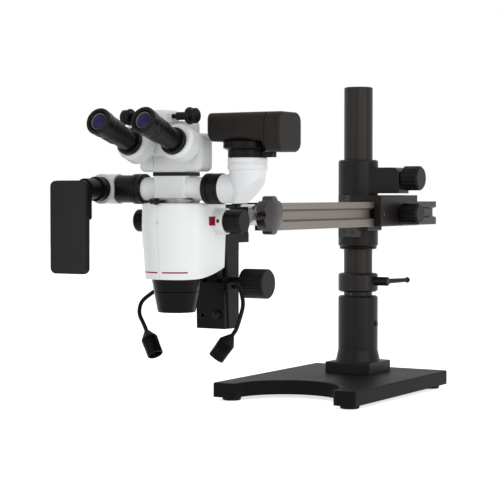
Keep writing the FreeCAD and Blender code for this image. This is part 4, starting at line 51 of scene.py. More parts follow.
def add(material, kind, settings, links=()):
    """Adds one node: settings are its properties or input values, links are (input, node, output)."""
    made = material.node_tree.nodes.new(kind)
    for key, value in settings.items():
        if isinstance(key, str) and hasattr(made, key):
            setattr(made, key, value)
        else:
            made.inputs[key].default_value = value
    for key, source, output in links:
        material.node_tree.links.new(source.outputs[output], made.inputs[key])
    return made


def new_material(name):
    """An empty node material of that name."""
    material = bpy.data.materials.new(name)
    material.use_nodes = True
    material.node_tree.nodes.clear()
    return material


def finish_material(material, surface):
    """Joins the surface to the output."""
    add(material, "ShaderNodeOutputMaterial", {}, [("Surface", surface, "BSDF")])
    return material


def dress(material, *names):
    """Puts a material in every slot of the named CAD pieces."""
    for name in names:
        data = nodes[name].data
        if not data.materials:
            data.materials.append(material)
        for index in range(len(data.materials)):
            data.materials[index] = material


def powder_coat(name, colour, worn, rough, grain_mm, level):
    """Baked polyester powder: a soft orange peel of fine dimples that breaks up the sheen."""
    coat = new_material(name)
    place = add(coat, "ShaderNodeTexCoord", {})
    cloud = add(coat, "ShaderNodeTexNoise", {"Scale": 14.0, "Detail": 3.0}, [("Vector", place, "Object")])
    tint = add(coat, "ShaderNodeMix", {"data_type": "RGBA", 6: linear(colour), 7: linear(worn)},
               [(0, cloud, "Fac")])
    peel = add(coat, "ShaderNodeTexNoise", {"Scale": 1000.0 / grain_mm, "Detail": 2.0},
               [("Vector", place, "Object")])
    sheen = add(coat, "ShaderNodeMapRange", {"To Min": rough - 0.05, "To Max": rough + 0.07},
                [("Value", cloud, "Fac")])
    bump = add(coat, "ShaderNodeBump", {"Strength": 0.16, "Distance": 0.0004}, [("Height", peel, "Fac")])
    surface = add(coat, "ShaderNodeBsdfPrincipled", {"IOR": 1.5, "Specular IOR Level": level},
                  [("Base Color", tint, 2), ("Roughness", sheen, "Result"), ("Normal", bump, "Normal")])
    return finish_material(coat, surface)


# The eye sees a flat black with a fine grain that greys only along the plate's edges.
plate_coat = powder_coat("powder_coat_black_on_cast_iron", "#0c0c0c", "#12110f", 0.48, 1.1, 0.07)
dress(plate_coat, "base_plate")

# The eye sees a dead black with a faint bloom, dull even under a lamp.
foot_rubber = new_material("moulded_nitrile_rubber")
place = add(foot_rubber, "ShaderNodeTexCoord", {})
bloom = add(foot_rubber, "ShaderNodeTexNoise", {"Scale": 60.0, "Detail": 4.0}, [("Vector", place, "Object")])
tint = add(foot_rubber, "ShaderNodeMix", {"data_type": "RGBA", 6: linear("#141414"), 7: linear("#202020")},
           [(0, bloom, "Fac")])
skin = add(foot_rubber, "ShaderNodeTexNoise", {"Scale": 2500.0}, [("Vector", place, "Object")])
bump = add(foot_rubber, "ShaderNodeBump", {"Strength": 0.2, "Distance": 0.0002}, [("Height", skin, "Fac")])
surface = add(foot_rubber, "ShaderNodeBsdfPrincipled", {"Roughness": 0.82, "Specular IOR Level": 0.3},
              [("Base Color", tint, 2), ("Normal", bump, "Normal")])
dress(finish_material(foot_rubber, surface), "base_feet")

# COLUMN AND ITS SOCKET
# A cast socket with a square flange, bolted to the plate by four socket-head screws, holds a
# thick steel tube that is turned, ground and black chromed. Grub screws lock the tube.
# The eye sees a warm black with a soft band of light down the round parts.
socket_coat = powder_coat("stoved_enamel_black_on_aluminium", "#151312", "#1e1b19", 0.38, 0.9, 0.15)
dress(socket_coat, "column_socket")

# The eye sees small dark grey heads with a dull metal glint.
screw_steel = new_material("black_oxide_screw_steel")
place = add(screw_steel, "ShaderNodeTexCoord", {})
stain = add(screw_steel, "ShaderNodeTexNoise", {"Scale": 700.0, "Detail": 3.0}, [("Vector", place, "Object")])
tint = add(screw_steel, "ShaderNodeMix",
           {"data_type": "RGBA", 6: linear("#2a2a2b"), 7: linear("#4a4a4c")}, [(0, stain, "Fac")])
surface = add(screw_steel, "ShaderNodeBsdfPrincipled", {"Metallic": 1.0, "Roughness": 0.38},
              [("Base Color", tint, 2)])
dress(finish_material(screw_steel, surface), "stand_screws")


def turned_black(name, colour, bright, rough, ring_mm, level):
    """Black anodised or black chromed turned metal: faint rings round the axis under a satin sheen."""
    metal = new_material(name)
    place = add(metal, "ShaderNodeTexCoord", {})
    stretched = add(metal, "ShaderNodeMapping", {"Scale": (6.0, 6.0, 1000.0 / ring_mm)},
                    [("Vector", place, "Object")])
    rings = add(metal, "ShaderNodeTexNoise", {"Scale": 1.0, "Detail": 2.0}, [("Vector", stretched, "Vector")])
    tint = add(metal, "ShaderNodeMix", {"data_type": "RGBA", 6: linear(colour), 7: linear(bright)},
               [(0, rings, "Fac")])
    sheen = add(metal, "ShaderNodeMapRange", {"To Min": rough - 0.06, "To Max": rough + 0.06},
                [("Value", rings, "Fac")])
    bump = add(metal, "ShaderNodeBump", {"Strength": 0.08, "Distance": 0.0002}, [("Height", rings, "Fac")])
    surface = add(metal, "ShaderNodeBsdfPrincipled", {"Metallic": 0.0, "Specular IOR Level": level},
                  [("Base Color", tint, 2), ("Roughness", sheen, "Result"), ("Normal", bump, "Normal")])
    return finish_material(metal, surface)


# The eye sees a brownish black tube with one broad highlight along its length.
column_chrome = turned_black("black_chromed_ground_steel", "#201d1b", "#2b2724", 0.36, 0.6, 0.18)
dress(column_chrome, "column_bar")

# SAFETY COLLAR AND ITS LEVER
# A split aluminium ring, black anodised, that stops the carriage from dropping. A cast clamp
# lever with a ball end is screwed into its side and pulls the split together.
# The eye sees the collar a little paler than the column, and the lever a glossier black.
dress(turned_black("satin_black_anodised_collar", "#171513", "#211d1b", 0.36, 0.8, 0.2), "safety_collar")
collar_black = turned_black("black_anodised_aluminium", "#0c0c0b", "#131211", 0.34, 0.8, 0.11)
dress(collar_black, "tension_lever")
lever_black = powder_coat("epoxy_coated_zinc_lever", "#0a0a0a", "#101010", 0.30, 0.7, 0.14)
dress(lever_black, "collar_lever")

# CARRIAGE
# A cast aluminium sleeve with a clamp block slides and turns on the column over a bronze bush.
# A milled guide block for the arm is screwed to its side, with bronze shoes in the channels.
dress(socket_coat, "carriage_sleeve", "arm_guide")

# The eye sees only the bush's dark rim below the sleeve, with a faint brown glint.
bush_bronze = new_material("oil_blackened_bearing_bronze")
place = add(bush_bronze, "ShaderNodeTexCoord", {})
stretched = add(bush_bronze, "ShaderNodeMapping", {"Scale": (8.0, 8.0, 1400.0)},
                [("Vector", place, "Object")])
rings = add(bush_bronze, "ShaderNodeTexNoise", {"Scale": 1.0}, [("Vector", stretched, "Vector")])
tint = add(bush_bronze, "ShaderNodeMix", {"data_type": "RGBA", 6: linear("#15110d"), 7: linear("#211a13")},
           [(0, rings, "Fac")])
surface = add(bush_bronze, "ShaderNodeBsdfPrincipled", {"Metallic": 1.0, "Roughness": 0.42},
              [("Base Color", tint, 2)])
dress(finish_material(bush_bronze, surface), "carriage_bush", "guide_shoes")

# The eye sees bright zinc screw heads on a black bridge plate: all that stands proud is bright.
bridge = new_material("black_bridge_plate_with_bright_screws")
mm = 0.001
low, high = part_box("carriage_screws")
place = add(bridge, "ShaderNodeTexCoord", {})
parts = add(bridge, "ShaderNodeSeparateXYZ", {}, [("Vector", place, "Object")])
proud = add(bridge, "ShaderNodeMath", {"operation": "LESS_THAN", 1: low.y + 1.4 * mm}, [(0, parts, "Y")])
aside = add(bridge, "ShaderNodeMath", {"operation": "GREATER_THAN", 1: high.x - 4 * mm}, [(0, parts, "X")])
bright = add(bridge, "ShaderNodeMath", {"operation": "MAXIMUM"}, [(0, proud, 0), (1, aside, 0)])
speck = add(bridge, "ShaderNodeTexNoise", {"Scale": 900.0}, [("Vector", place, "Object")])
dark = add(bridge, "ShaderNodeMix", {"data_type": "RGBA", 6: linear("#1b1a1a"), 7: linear("#252423")},
           [(0, speck, "Fac")])
tint = add(bridge, "ShaderNodeMix", {"data_type": "RGBA", 7: linear("#c9c8c4")},
           [(0, bright, 0), (6, dark, 2)])
surface = add(bridge, "ShaderNodeBsdfPrincipled", {"Roughness": 0.36, "Specular IOR Level": 0.4},
              [("Base Color", tint, 2), ("Metallic", bright, 0)])
dress(finish_material(bridge, surface), "carriage_screws")


def moulded_black(name, colour, dusty, rough, grain_mm, level):
    """Black moulded plastic: a spark-eroded grain, a little dust and skin oil in the hollows."""
    plastic = new_material(name)
    place = add(plastic, "ShaderNodeTexCoord", {})
    touched = add(plastic, "ShaderNodeTexNoise", {"Scale": 35.0, "Detail": 4.0},
                  [("Vector", place, "Object")])
    tint = add(plastic, "ShaderNodeMix", {"data_type": "RGBA", 6: linear(colour), 7: linear(dusty)},
               [(0, touched, "Fac")])
    grain = add(plastic, "ShaderNodeTexVoronoi", {"Scale": 1000.0 / grain_mm}, [("Vector", place, "Object")])
    sheen = add(plastic, "ShaderNodeMapRange", {"To Min": rough - 0.06, "To Max": rough + 0.08},
                [("Value", touched, "Fac")])
    bump = add(plastic, "ShaderNodeBump", {"Strength": 0.12, "Distance": 0.0002},
               [("Height", grain, "Distance")])
    surface = add(plastic, "ShaderNodeBsdfPrincipled", {"IOR": 1.52, "Specular IOR Level": level},
                  [("Base Color", tint, 2), ("Roughness", sheen, "Result"), ("Normal", bump, "Normal")])
    return finish_material(plastic, surface)


# The eye sees ribbed dull black knobs with thin lights on their flutes.
knob_plastic = moulded_black("moulded_glass_filled_nylon", "#0c0c0b", "#131211", 0.36, 0.8, 0.12)
dress(knob_plastic, "height_knob", "arm_lock_knob")

# ARM
# An extruded aluminium bar with a sloped-lip channel along each side, bead blasted and anodised
# warm grey. Behind the carriage it carries a black coat. A cast head closes its front end.
# The eye sees a warm grey with faint lengthwise drawing lines and a soft metal sheen.
arm_metal = new_material("anodised_extruded_aluminium_warm_grey")
low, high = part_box("arm_guide")
place = add(arm_metal, "ShaderNodeTexCoord", {})
parts = add(arm_metal, "ShaderNodeSeparateXYZ", {}, [("Vector", place, "Object")])
behind = add(arm_metal, "ShaderNodeMath", {"operation": "GREATER_THAN", 1: low.y + 20 * mm},
             [(0, parts, "Y")])
stretched = add(arm_metal, "ShaderNodeMapping", {"Scale": (900.0, 6.0, 900.0)},
                [("Vector", place, "Object")])
drawn = add(arm_metal, "ShaderNodeTexNoise", {"Scale": 1.0, "Detail": 3.0},
            [("Vector", stretched, "Vector")])
grey = add(arm_metal, "ShaderNodeMix", {"data_type": "RGBA", 6: linear("#736d65"), 7: linear("#8c867d")},
           [(0, drawn, "Fac")])
tint = add(arm_metal, "ShaderNodeMix", {"data_type": "RGBA", 7: linear("#1c1b1b")},
           [(0, behind, 0), (6, grey, 2)])
bare = add(arm_metal, "ShaderNodeMapRange", {"To Min": 0.75, "To Max": 0.1}, [("Value", behind, 0)])
sheen = add(arm_metal, "ShaderNodeMapRange", {"To Min": 0.36, "To Max": 0.5}, [("Value", drawn, "Fac")])
bump = add(arm_metal, "ShaderNodeBump", {"Strength": 0.1, "Distance": 0.0002}, [("Height", drawn, "Fac")])
surface = add(arm_metal, "ShaderNodeBsdfPrincipled", {"Specular IOR Level": 0.4},
              [("Base Color", tint, 2), ("Metallic", bare, "Result"), ("Roughness", sheen, "Result"),
               ("Normal", bump, "Normal")])
dress(finish_material(arm_metal, surface), "arm_bar")
# The eye sees a plain satin black between the grey arm and the bright barrel.
head_coat = powder_coat("stoved_enamel_black_arm_head", "#0c0b0b", "#131211", 0.36, 0.9, 0.12)
dress(head_coat, "arm_head")
dress(screw_steel, "tilt_axle")
# The eye sees a polished brownish black whose dome mirrors the lamps.
dress(moulded_black("moulded_thermoset_star_knob", "#221d1b", "#2c2624", 0.3, 0.9, 0.4), "star_knob")

# TILTING JOINT AND FOCUS COLUMN
# A turned and ground aluminium barrel tilts on the steel axle. The milled black column below it
# carries the focusing dovetail, and on its foot the lamp driver box with dimmer and socket.
# The eye sees a pale silver with fine turning rings.
barrel_metal = new_material("turned_clear_anodised_aluminium")
place = add(barrel_metal, "ShaderNodeTexCoord", {})
stretched = add(barrel_metal, "ShaderNodeMapping", {"Scale": (1600.0, 10.0, 10.0)},
                [("Vector", place, "Object")])
rings = add(barrel_metal, "ShaderNodeTexNoise", {"Scale": 1.0, "Detail": 2.0},
            [("Vector", stretched, "Vector")])
tint = add(barrel_metal, "ShaderNodeMix", {"data_type": "RGBA", 6: linear("#a8a8a6"), 7: linear("#c6c6c4")},
           [(0, rings, "Fac")])
bump = add(barrel_metal, "ShaderNodeBump", {"Strength": 0.1, "Distance": 0.0002}, [("Height", rings, "Fac")])
surface = add(barrel_metal, "ShaderNodeBsdfPrincipled", {"Metallic": 0.9, "Roughness": 0.34},
              [("Base Color", tint, 2), ("Normal", bump, "Normal")])
barrel_metal = finish_material(barrel_metal, surface)
dress(barrel_metal, "tilt_barrel")

# The eye sees the darkest, most even black of the instrument.
column_coat = powder_coat("matt_black_anodised_focus_column", "#0a0a0a", "#100f0f", 0.40, 0.8, 0.09)
dress(column_coat, "focus_column", "focus_slide")
dress(knob_plastic, "dimmer_knob", "power_jack")

# FOCUSING DRIVE
# A milled steel rack on the slide meshes with a pinion cut on the cross shaft. Ribbed plastic
# hand wheels are pressed on both shaft ends, each with a small locating peg.
# The eye sees bright steel with cutter marks, on the gears, the shafts and the cover's screws.
gear_steel = new_material("milled_bright_steel")
place = add(gear_steel, "ShaderNodeTexCoord", {})
stretched = add(gear_steel, "ShaderNodeMapping", {"Scale": (1200.0, 60.0, 60.0)},
                [("Vector", place, "Object")])
marks = add(gear_steel, "ShaderNodeTexNoise", {"Scale": 1.0}, [("Vector", stretched, "Vector")])
tint = add(gear_steel, "ShaderNodeMix", {"data_type": "RGBA", 6: linear("#9a9a9c"), 7: linear("#b8b8ba")},
           [(0, marks, "Fac")])
surface = add(gear_steel, "ShaderNodeBsdfPrincipled", {"Metallic": 1.0, "Roughness": 0.26},
              [("Base Color", tint, 2)])
gear_steel = finish_material(gear_steel, surface)
dress(gear_steel, "focus_rack", "focus_shaft", "zoom_shaft")
dress(moulded_black("moulded_ribbed_hand_wheel", "#0b0b0a", "#131211", 0.38, 0.8, 0.11),
      "focus_knobs", "zoom_knobs", "ipd_knobs")

# LAMPS
# Two lamps on bendable steel necks in a smooth black sleeve. Each lamp is a turned, black
# anodised barrel with a grooved grip, closed by a clear pressed lens over the light source.
# The eye sees a smooth black hose with a very faint ripple.
sleeve = new_material("heat_shrunk_polyolefin_sleeve")
place = add(sleeve, "ShaderNodeTexCoord", {})
ripple = add(sleeve, "ShaderNodeTexWave", {"Scale": 170.0, "bands_direction": "Z", "Distortion": 1.5},
             [("Vector", place, "Object")])
tint = add(sleeve, "ShaderNodeMix", {"data_type": "RGBA", 6: linear("#070707"), 7: linear("#0f0f0f")},
           [(0, ripple, "Fac")])
bump = add(sleeve, "ShaderNodeBump", {"Strength": 0.12, "Distance": 0.0003}, [("Height", ripple, "Fac")])
surface = add(sleeve, "ShaderNodeBsdfPrincipled", {"Roughness": 0.42, "Specular IOR Level": 0.1},
              [("Base Color", tint, 2), ("Normal", bump, "Normal")])
dress(finish_material(sleeve, surface), "lamp_neck_left", "lamp_neck_right")
# The eye sees a near black barrel in which only the grip's grooves catch light.
lamp_black = turned_black("black_anodised_lamp_barrel", "#050505", "#0a0a0a", 0.3, 0.5, 0.07)
dress(lamp_black, "lamp_head_left", "lamp_head_right")

# ZOOM BODY
# Two injection moulded ABS cover halves meet on a seam in front, over a cast aluminium chassis
# with a round dovetail seat. A fine red line is printed round the lower rim.
low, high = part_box("column_bar")
axis_x = (low.x + high.x) / 2
axis_y = (low.y + high.y) / 2


def band(material, value, output, low, high):
    """1 where the value lies between low and high."""
    over = add(material, "ShaderNodeMath", {"operation": "GREATER_THAN", 1: low}, [(0, value, output)])
    under = add(material, "ShaderNodeMath", {"operation": "LESS_THAN", 1: high}, [(0, value, output)])
    return add(material, "ShaderNodeMath", {"operation": "MULTIPLY"}, [(0, over, 0), (1, under, 0)])


def patch(material, parts, x0, x1, y0, y1, z0, z1):
    """1 inside a box given in millimetres about the column's axis."""
    in_x = band(material, parts, "X", x0 * mm + axis_x, x1 * mm + axis_x)
    in_y = band(material, parts, "Y", y0 * mm + axis_y, y1 * mm + axis_y)
    in_z = band(material, parts, "Z", z0 * mm, z1 * mm)
    flat = add(material, "ShaderNodeMath", {"operation": "MULTIPLY"}, [(0, in_x, 0), (1, in_y, 0)])
    return add(material, "ShaderNodeMath", {"operation": "MULTIPLY"}, [(0, flat, 0), (1, in_z, 0)])


def white_shell(name, colour, shade, rough):
    """White moulding or stoved enamel: even and clean, with a slight orange peel in its gloss."""
    shell = new_material(name)
    place = add(shell, "ShaderNodeTexCoord", {})
    cloud = add(shell, "ShaderNodeTexNoise", {"Scale": 10.0, "Detail": 2.0}, [("Vector", place, "Object")])
    tint = add(shell, "ShaderNodeMix", {"data_type": "RGBA", 6: linear(colour), 7: linear(shade)},
               [(0, cloud, "Fac")])
    peel = add(shell, "ShaderNodeTexNoise", {"Scale": 420.0}, [("Vector", place, "Object")])
    bump = add(shell, "ShaderNodeBump", {"Strength": 0.05, "Distance": 0.0003}, [("Height", peel, "Fac")])
    surface = add(shell, "ShaderNodeBsdfPrincipled",
                  {"IOR": 1.53, "Roughness": rough, "Specular IOR Level": 0.3},
                  [("Base Color", tint, 2), ("Normal", bump, "Normal")])
    return shell, place, tint, surface


# The eye sees a clean cool white with a soft gloss, two thin dark red lines and a red index mark.
shell, place, tint, surface = white_shell("moulded_abs_cover_white", "#e9eae9", "#e2e3e2", 0.30)
parts = add(shell, "ShaderNodeSeparateXYZ", {}, [("Vector", place, "Object")])
marks = [("#8c1027", patch(shell, parts, 20, 48.3, -720, -664, 224.4, 226.4)),
         ("#8c1027", patch(shell, parts, 55.2, 84.6, -720, -664, 224.4, 226.4)),
         ("#8f1f3a", patch(shell, parts, 93.5, 100.3, -640, -622, 286.5, 298.5)),
         ("#161414", patch(shell, parts, 102.2, 106.3, -640, -622, 290.3, 295.0))]
printed = tint
for colour, mask in marks:
    printed = add(shell, "ShaderNodeMix", {"data_type": "RGBA", 7: linear(colour)},
                  [(0, mask, 0), (6, printed, 2)])
shell.node_tree.links.new(printed.outputs[2], surface.inputs["Base Color"])
dress(finish_material(shell, surface), "zoom_cover_left", "zoom_cover_right")
dress(gear_steel, "cover_screws")

# The eye sees a matt casting grey, where the seat shows above the covers.
chassis_metal = new_material("cast_and_milled_aluminium")
place = add(chassis_metal, "ShaderNodeTexCoord", {})
cast = add(chassis_metal, "ShaderNodeTexNoise", {"Scale": 260.0, "Detail": 4.0},
           [("Vector", place, "Object")])
tint = add(chassis_metal, "ShaderNodeMix", {"data_type": "RGBA", 6: linear("#7e7e7e"), 7: linear("#9c9c9b")},
           [(0, cast, "Fac")])
bump = add(chassis_metal, "ShaderNodeBump", {"Strength": 0.1, "Distance": 0.0003}, [("Height", cast, "Fac")])
surface = add(chassis_metal, "ShaderNodeBsdfPrincipled", {"Metallic": 0.9, "Roughness": 0.4},
              [("Base Color", tint, 2), ("Normal", bump, "Normal")])
dress(finish_material(chassis_metal, surface), "zoom_chassis", "zoom_lens_cells")
dress(collar_black, "thumb_screw")

# OBJECTIVE
# A turned aluminium cone, black anodised, screwed up into the chassis. A coated front lens sits
# behind its lower rim.
# The eye sees a deep black cone, smoother than the column.
cone_black = turned_black("satin_black_anodised_objective", "#050505", "#090908", 0.2, 0.5, 0.09)
dress(cone_black, "objective_housing")


def coated_glass(name, depth, glint, rough):
    """Anti-reflection coated glass over a dark tube: it looks violet, and green-gold at its edge. Its base
    colour is painted lighter towards the rim, a painted reflection.
    """
    glass = new_material(name)
    place = add(glass, "ShaderNodeTexCoord", {})
    haze = add(glass, "ShaderNodeTexNoise", {"Scale": 90.0}, [("Vector", place, "Object")])
    # Painted reflection: the base colour turns to the lighter glint colour where the surface turns away from
    # view.
    edge = add(glass, "ShaderNodeLayerWeight", {"Blend": 0.35})
    painted_rim_reflection = add(glass, "ShaderNodeMix", {"data_type": "RGBA", 6: linear(depth), 7: linear(glint)},
               [(0, edge, "Facing")])
    tint = add(glass, "ShaderNodeMix", {"data_type": "RGBA", "blend_type": "MULTIPLY", 0: 0.25},
               [(6, painted_rim_reflection, 2), (7, haze, "Color")])
    surface = add(glass, "ShaderNodeBsdfPrincipled",
                  {"IOR": 1.6, "Roughness": rough, "Specular IOR Level": 0.12},
                  [("Base Color", tint, 2)])
    return finish_material(glass, surface)


# The second colour is the painted reflection at the lens's rim.
dress(coated_glass("coated_front_lens", "#17123a", "#4b3c86", 0.08), "objective_lens")

# BEAM SPLITTER AND SIDE PORTS
# A cast aluminium block, stoved white, clamps on the body's dovetail under a black spacer plate.
# Black knurled coupling rings and white mirror elbows screw on its two side tubes.
# The eye sees a white a shade darker and duller than the covers.
shell, place, tint, surface = white_shell("stoved_enamel_white_on_aluminium", "#e3e4e4", "#dadbdb", 0.34)
enamel = finish_material(shell, surface)
dress(enamel, "beam_splitter", "left_elbow", "right_elbow")
dress(collar_black, "head_plate", "left_coupler", "right_coupler")

# SIDE DISPLAY
# A thin display in a moulded holder hangs from the left elbow's turning ring. Its front is one
# sheet of dark glass in a narrow satin frame.
# The eye sees one dark sheet with a mirror-like sheen inside a duller frame.
display_glass = new_material("dark_cover_glass_and_satin_frame")
low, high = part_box("phone_display")
place = add(display_glass, "ShaderNodeTexCoord", {})
parts = add(display_glass, "ShaderNodeSeparateXYZ", {}, [("Vector", place, "Object")])
frame_width = 2.2 * mm
inside = [band(display_glass, parts, "X", low.x + frame_width, high.x - frame_width),
          band(display_glass, parts, "Z", low.z + frame_width, high.z - frame_width),
          band(display_glass, parts, "Y", low.y - 1, low.y + 0.6 * mm)]
across = add(display_glass, "ShaderNodeMath", {"operation": "MULTIPLY"},
             [(0, inside[0], 0), (1, inside[1], 0)])
front = add(display_glass, "ShaderNodeMath", {"operation": "MULTIPLY"}, [(0, across, 0), (1, inside[2], 0)])
smear = add(display_glass, "ShaderNodeTexNoise", {"Scale": 18.0, "Detail": 3.0},
            [("Vector", place, "Object")])
pane = add(display_glass, "ShaderNodeMix", {"data_type": "RGBA", 6: linear("#1c1a19"), 7: linear("#23201f")},
           [(0, smear, "Fac")])
tint = add(display_glass, "ShaderNodeMix", {"data_type": "RGBA", 6: linear("#191818")},
           [(0, front, 0), (7, pane, 2)])
sheen = add(display_glass, "ShaderNodeMapRange", {"To Min": 0.45, "To Max": 0.16}, [("Value", front, 0)])
surface = add(display_glass, "ShaderNodeBsdfPrincipled", {"Specular IOR Level": 0.12},
              [("Base Color", tint, 2), ("Roughness", sheen, "Result")])
dress(finish_material(display_glass, surface), "phone_display")
dress(moulded_black("moulded_abs_holder", "#0b0b0b", "#111111", 0.4, 0.8, 0.1), "phone_holder")

# CAMERA
# A moulded two-part housing, fine-grained black, on a turned adapter ring with a release tab.
# The eye sees a dusty brownish black that turns paler on the rounded end.
dress(moulded_black("spark_grained_abs_camera_housing", "#1c1917", "#26221f", 0.46, 0.7, 0.1), "camera_body")
dress(collar_black, "camera_adapter")

# BINOCULAR HEAD
# Cast aluminium, stoved white: a foot with a round pivot, a tilting housing between two cheeks,
# and two round prism housings that slide apart. A cross shaft with black knobs moves them.
dress(enamel, "head_base", "head_housing", "prism_housing_left", "prism_housing_right")

# EYE TUBES AND EYEPIECES
# Black anodised tubes screw into the prism housings. Each eyepiece has a turned body, a ribbed
# dioptre ring, a soft eyecup and a violet coated eye lens behind its rim.
# The eye sees smooth dark tubes with a thin highlight, and softer, greyer eyepieces.
dress(turned_black("black_anodised_eye_tube", "#0b0b0b", "#121110", 0.30, 0.5, 0.14),
      "eye_tube_left", "eye_tube_right")
dress(moulded_black("satin_black_eyepiece", "#0b0b0a", "#121110", 0.32, 0.7, 0.13),
      "eyepiece_left", "eyepiece_right")

eye_tilt = math.radians(19.0)
eye_axis = Vector((0, -math.cos(eye_tilt), math.sin(eye_tilt)))
# The second colour is the painted reflection at the lens's rim.
eye_lens_glass = coated_glass("violet_coated_eye_lens", "#130d36", "#3b2b80", 0.05)


def spun(name, profile, start, axis, material):
    """A turned piece from a profile of (distance along the axis, radius), as a smooth mesh."""
    mesh = bpy.data.meshes.new(name)
    form = bmesh.new()
    corners = [form.verts.new((radius, 0, along)) for along, radius in profile]
    edges = [form.edges.new(pair) for pair in zip(corners, corners[1:])]
    bmesh.ops.spin(form, geom=corners + edges, cent=(0, 0, 0), axis=(0, 0, 1), angle=2 * math.pi, steps=64,
                   use_merge=True)
    bmesh.ops.remove_doubles(form, verts=form.verts, dist=0.000002)
    bmesh.ops.recalc_face_normals(form, faces=form.faces)
    turn = Vector((0, 0, 1)).rotation_difference(axis).to_matrix().to_4x4()
    form.transform(Matrix.Translation(start) @ turn)
    form.to_mesh(mesh)
    form.free()
    for face in mesh.polygons:
        face.use_smooth = True
    piece = bpy.data.objects.new(name, mesh)
    bpy.context.scene.collection.objects.link(piece)
    mesh.materials.append(material)
    return piece


def end_of(name, axis):
    """The middle of the rim in which a turned CAD piece ends, looking along its axis."""
    corners = [vertex.co for vertex in nodes[name].data.vertices]
    furthest = max(corner.dot(axis) for corner in corners)
    rim = [corner for corner in corners if corner.dot(axis) > furthest - 0.2 * mm]
    total = sum(rim, Vector())
    return total / len(rim)


cup_depth = 4.0 * mm
lens_radius = 9.0 * mm
seat_radius = 11.2 * mm
bevel = [(0.2 * mm, lens_radius), (0.6 * mm, lens_radius), (2.0 * mm, seat_radius - 0.3 * mm),
         (2.0 * mm, seat_radius), (0.2 * mm, seat_radius)]
ring_black = turned_black("black_anodised_lens_ring", "#2c2b2a", "#3a3937", 0.30, 0.4, 0.5)
lens_seat = 0.3 * mm
lens_crown = 1.6 * mm
dome = [(lens_seat, lens_radius)]
for step in range(11, -1, -1):
    angle = step * math.pi / 24
    dome.append((lens_seat + lens_crown * math.cos(angle), lens_radius * math.sin(angle)))
for side in ("left", "right"):
    bottom = end_of("eyepiece_" + side, eye_axis) - eye_axis * cup_depth
    ring = spun("lens_ring_" + side, bevel, bottom, eye_axis, ring_black)
    lens = spun("eye_lens_" + side, dome, bottom, eye_axis, eye_lens_glass)
    for piece, slot in ((ring, "optics_black"), (lens, "lens_glass")):
        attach(piece, "diopter_" + side)

# STUDIO
# The finished instrument stands on white paper under two large soft lamps and one narrow strip
# lamp, as in a catalogue. The lens and place are those that were fitted to the photograph.


def sees_paper(owner):
    """1 for the rays that show white paper: what the camera sees, also in gloss and through glass."""
    path = add(owner, "ShaderNodeLightPath", {})
    seen = add(owner, "ShaderNodeMath", {"operation": "MAXIMUM"},
               [(0, path, "Is Camera Ray"), (1, path, "Is Glossy Ray")])
    return add(owner, "ShaderNodeMath", {"operation": "MAXIMUM"},
               [(0, seen, 0), (1, path, "Is Transmission Ray")])


mesh = bpy.data.meshes.new("studio_floor")
mesh.from_pydata([(-6, -6, 0), (6, -6, 0), (6, 6, 0), (-6, 6, 0)], [], [(0, 1, 2, 3)])
floor = bpy.data.objects.new("studio_floor", mesh)
bpy.context.scene.collection.objects.link(floor)
floor_paper = new_material("matt_white_studio_paper")
place = add(floor_paper, "ShaderNodeTexCoord", {})
fibre = add(floor_paper, "ShaderNodeTexNoise", {"Scale": 3.0, "Detail": 2.0}, [("Vector", place, "Object")])
tint = add(floor_paper, "ShaderNodeMix", {"data_type": "RGBA", 6: linear("#f4f4f4"), 7: linear("#f8f8f8")},
           [(0, fibre, "Fac")])
paper = add(floor_paper, "ShaderNodeBsdfDiffuse", {}, [("Color", tint, 2)])
glow = add(floor_paper, "ShaderNodeEmission", {"Color": (1, 1, 1, 1), "Strength": 0.72})
bright = add(floor_paper, "ShaderNodeAddShader", {}, [(0, paper, "BSDF"), (1, glow, "Emission")])
both = add(floor_paper, "ShaderNodeMixShader", {},
           [(0, sees_paper(floor_paper), 0), (1, paper, "BSDF"), (2, bright, "Shader")])
add(floor_paper, "ShaderNodeOutputMaterial", {}, [("Surface", both, "Shader")])
mesh.materials.append(floor_paper)

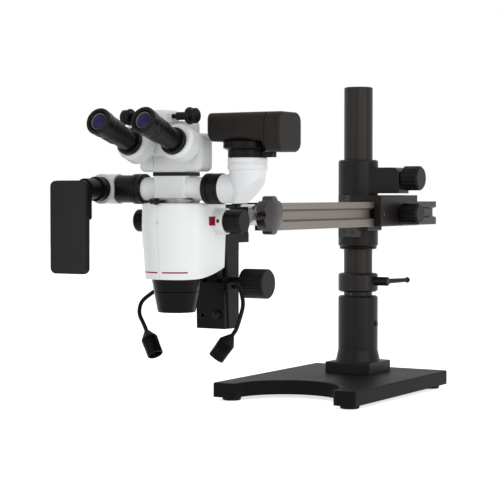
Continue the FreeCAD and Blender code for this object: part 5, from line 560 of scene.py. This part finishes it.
world = bpy.data.worlds.new("studio")
bpy.context.scene.world = world
world.use_nodes = True
world.node_tree.nodes.clear()
room = add(world, "ShaderNodeBackground", {"Color": linear("#eef0f2"), "Strength": 0.72})
paper = add(world, "ShaderNodeBackground", {"Color": (1, 1, 1, 1), "Strength": 1.0})
both = add(world, "ShaderNodeMixShader", {},
           [(0, sees_paper(world), 0), (1, room, "Background"), (2, paper, "Background")])
add(world, "ShaderNodeOutputWorld", {}, [("Surface", both, "Shader")])

centre = Vector((0, 0, 0.25))


def soft_lamp(name, azimuth, height, distance, size, power):
    """A soft lamp that faces the middle of the instrument; azimuth is measured as the camera's."""
    light = bpy.data.lights.new(name, "AREA")
    light.shape = "RECTANGLE"
    light.size = size[0]
    light.size_y = size[1]
    light.energy = power
    lamp = bpy.data.objects.new(name, light)
    turn = math.radians(azimuth)
    lamp.location = centre + Vector((math.sin(turn) * distance, -math.cos(turn) * distance, height))
    lamp.rotation_mode = "QUATERNION"
    lamp.rotation_quaternion = (centre - lamp.location).to_track_quat("-Z", "Y")
    bpy.context.scene.collection.objects.link(lamp)


soft_lamp("key_right_of_camera", 50, 0.7, 1.9, (1.0, 1.3), 9)
soft_lamp("strip_at_the_side", 88, 0.1, 1.5, (0.2, 1.2), 5)
soft_lamp("fill_left", -15, 0.4, 2.0, (1.3, 1.2), 4)

camera_azimuth = math.radians(30.0)
camera_dip = math.radians(1.977)
view = bpy.data.cameras.new("photograph")
view.sensor_width = 36.0
view.lens = 118.08
view.clip_start = 0.1
view.clip_end = 30
camera = bpy.data.objects.new("photograph", view)
camera.location = (1223.7 * mm + axis_x, -2484.2 * mm + axis_y, 329 * mm)
ahead = Vector((-math.sin(camera_azimuth) * math.cos(camera_dip),
                math.cos(camera_azimuth) * math.cos(camera_dip), -math.sin(camera_dip)))
camera.rotation_mode = "QUATERNION"
camera.rotation_quaternion = ahead.to_track_quat("-Z", "Y")
bpy.context.scene.collection.objects.link(camera)
bpy.context.scene.camera = camera
bpy.context.scene.view_settings.view_transform = "Standard"
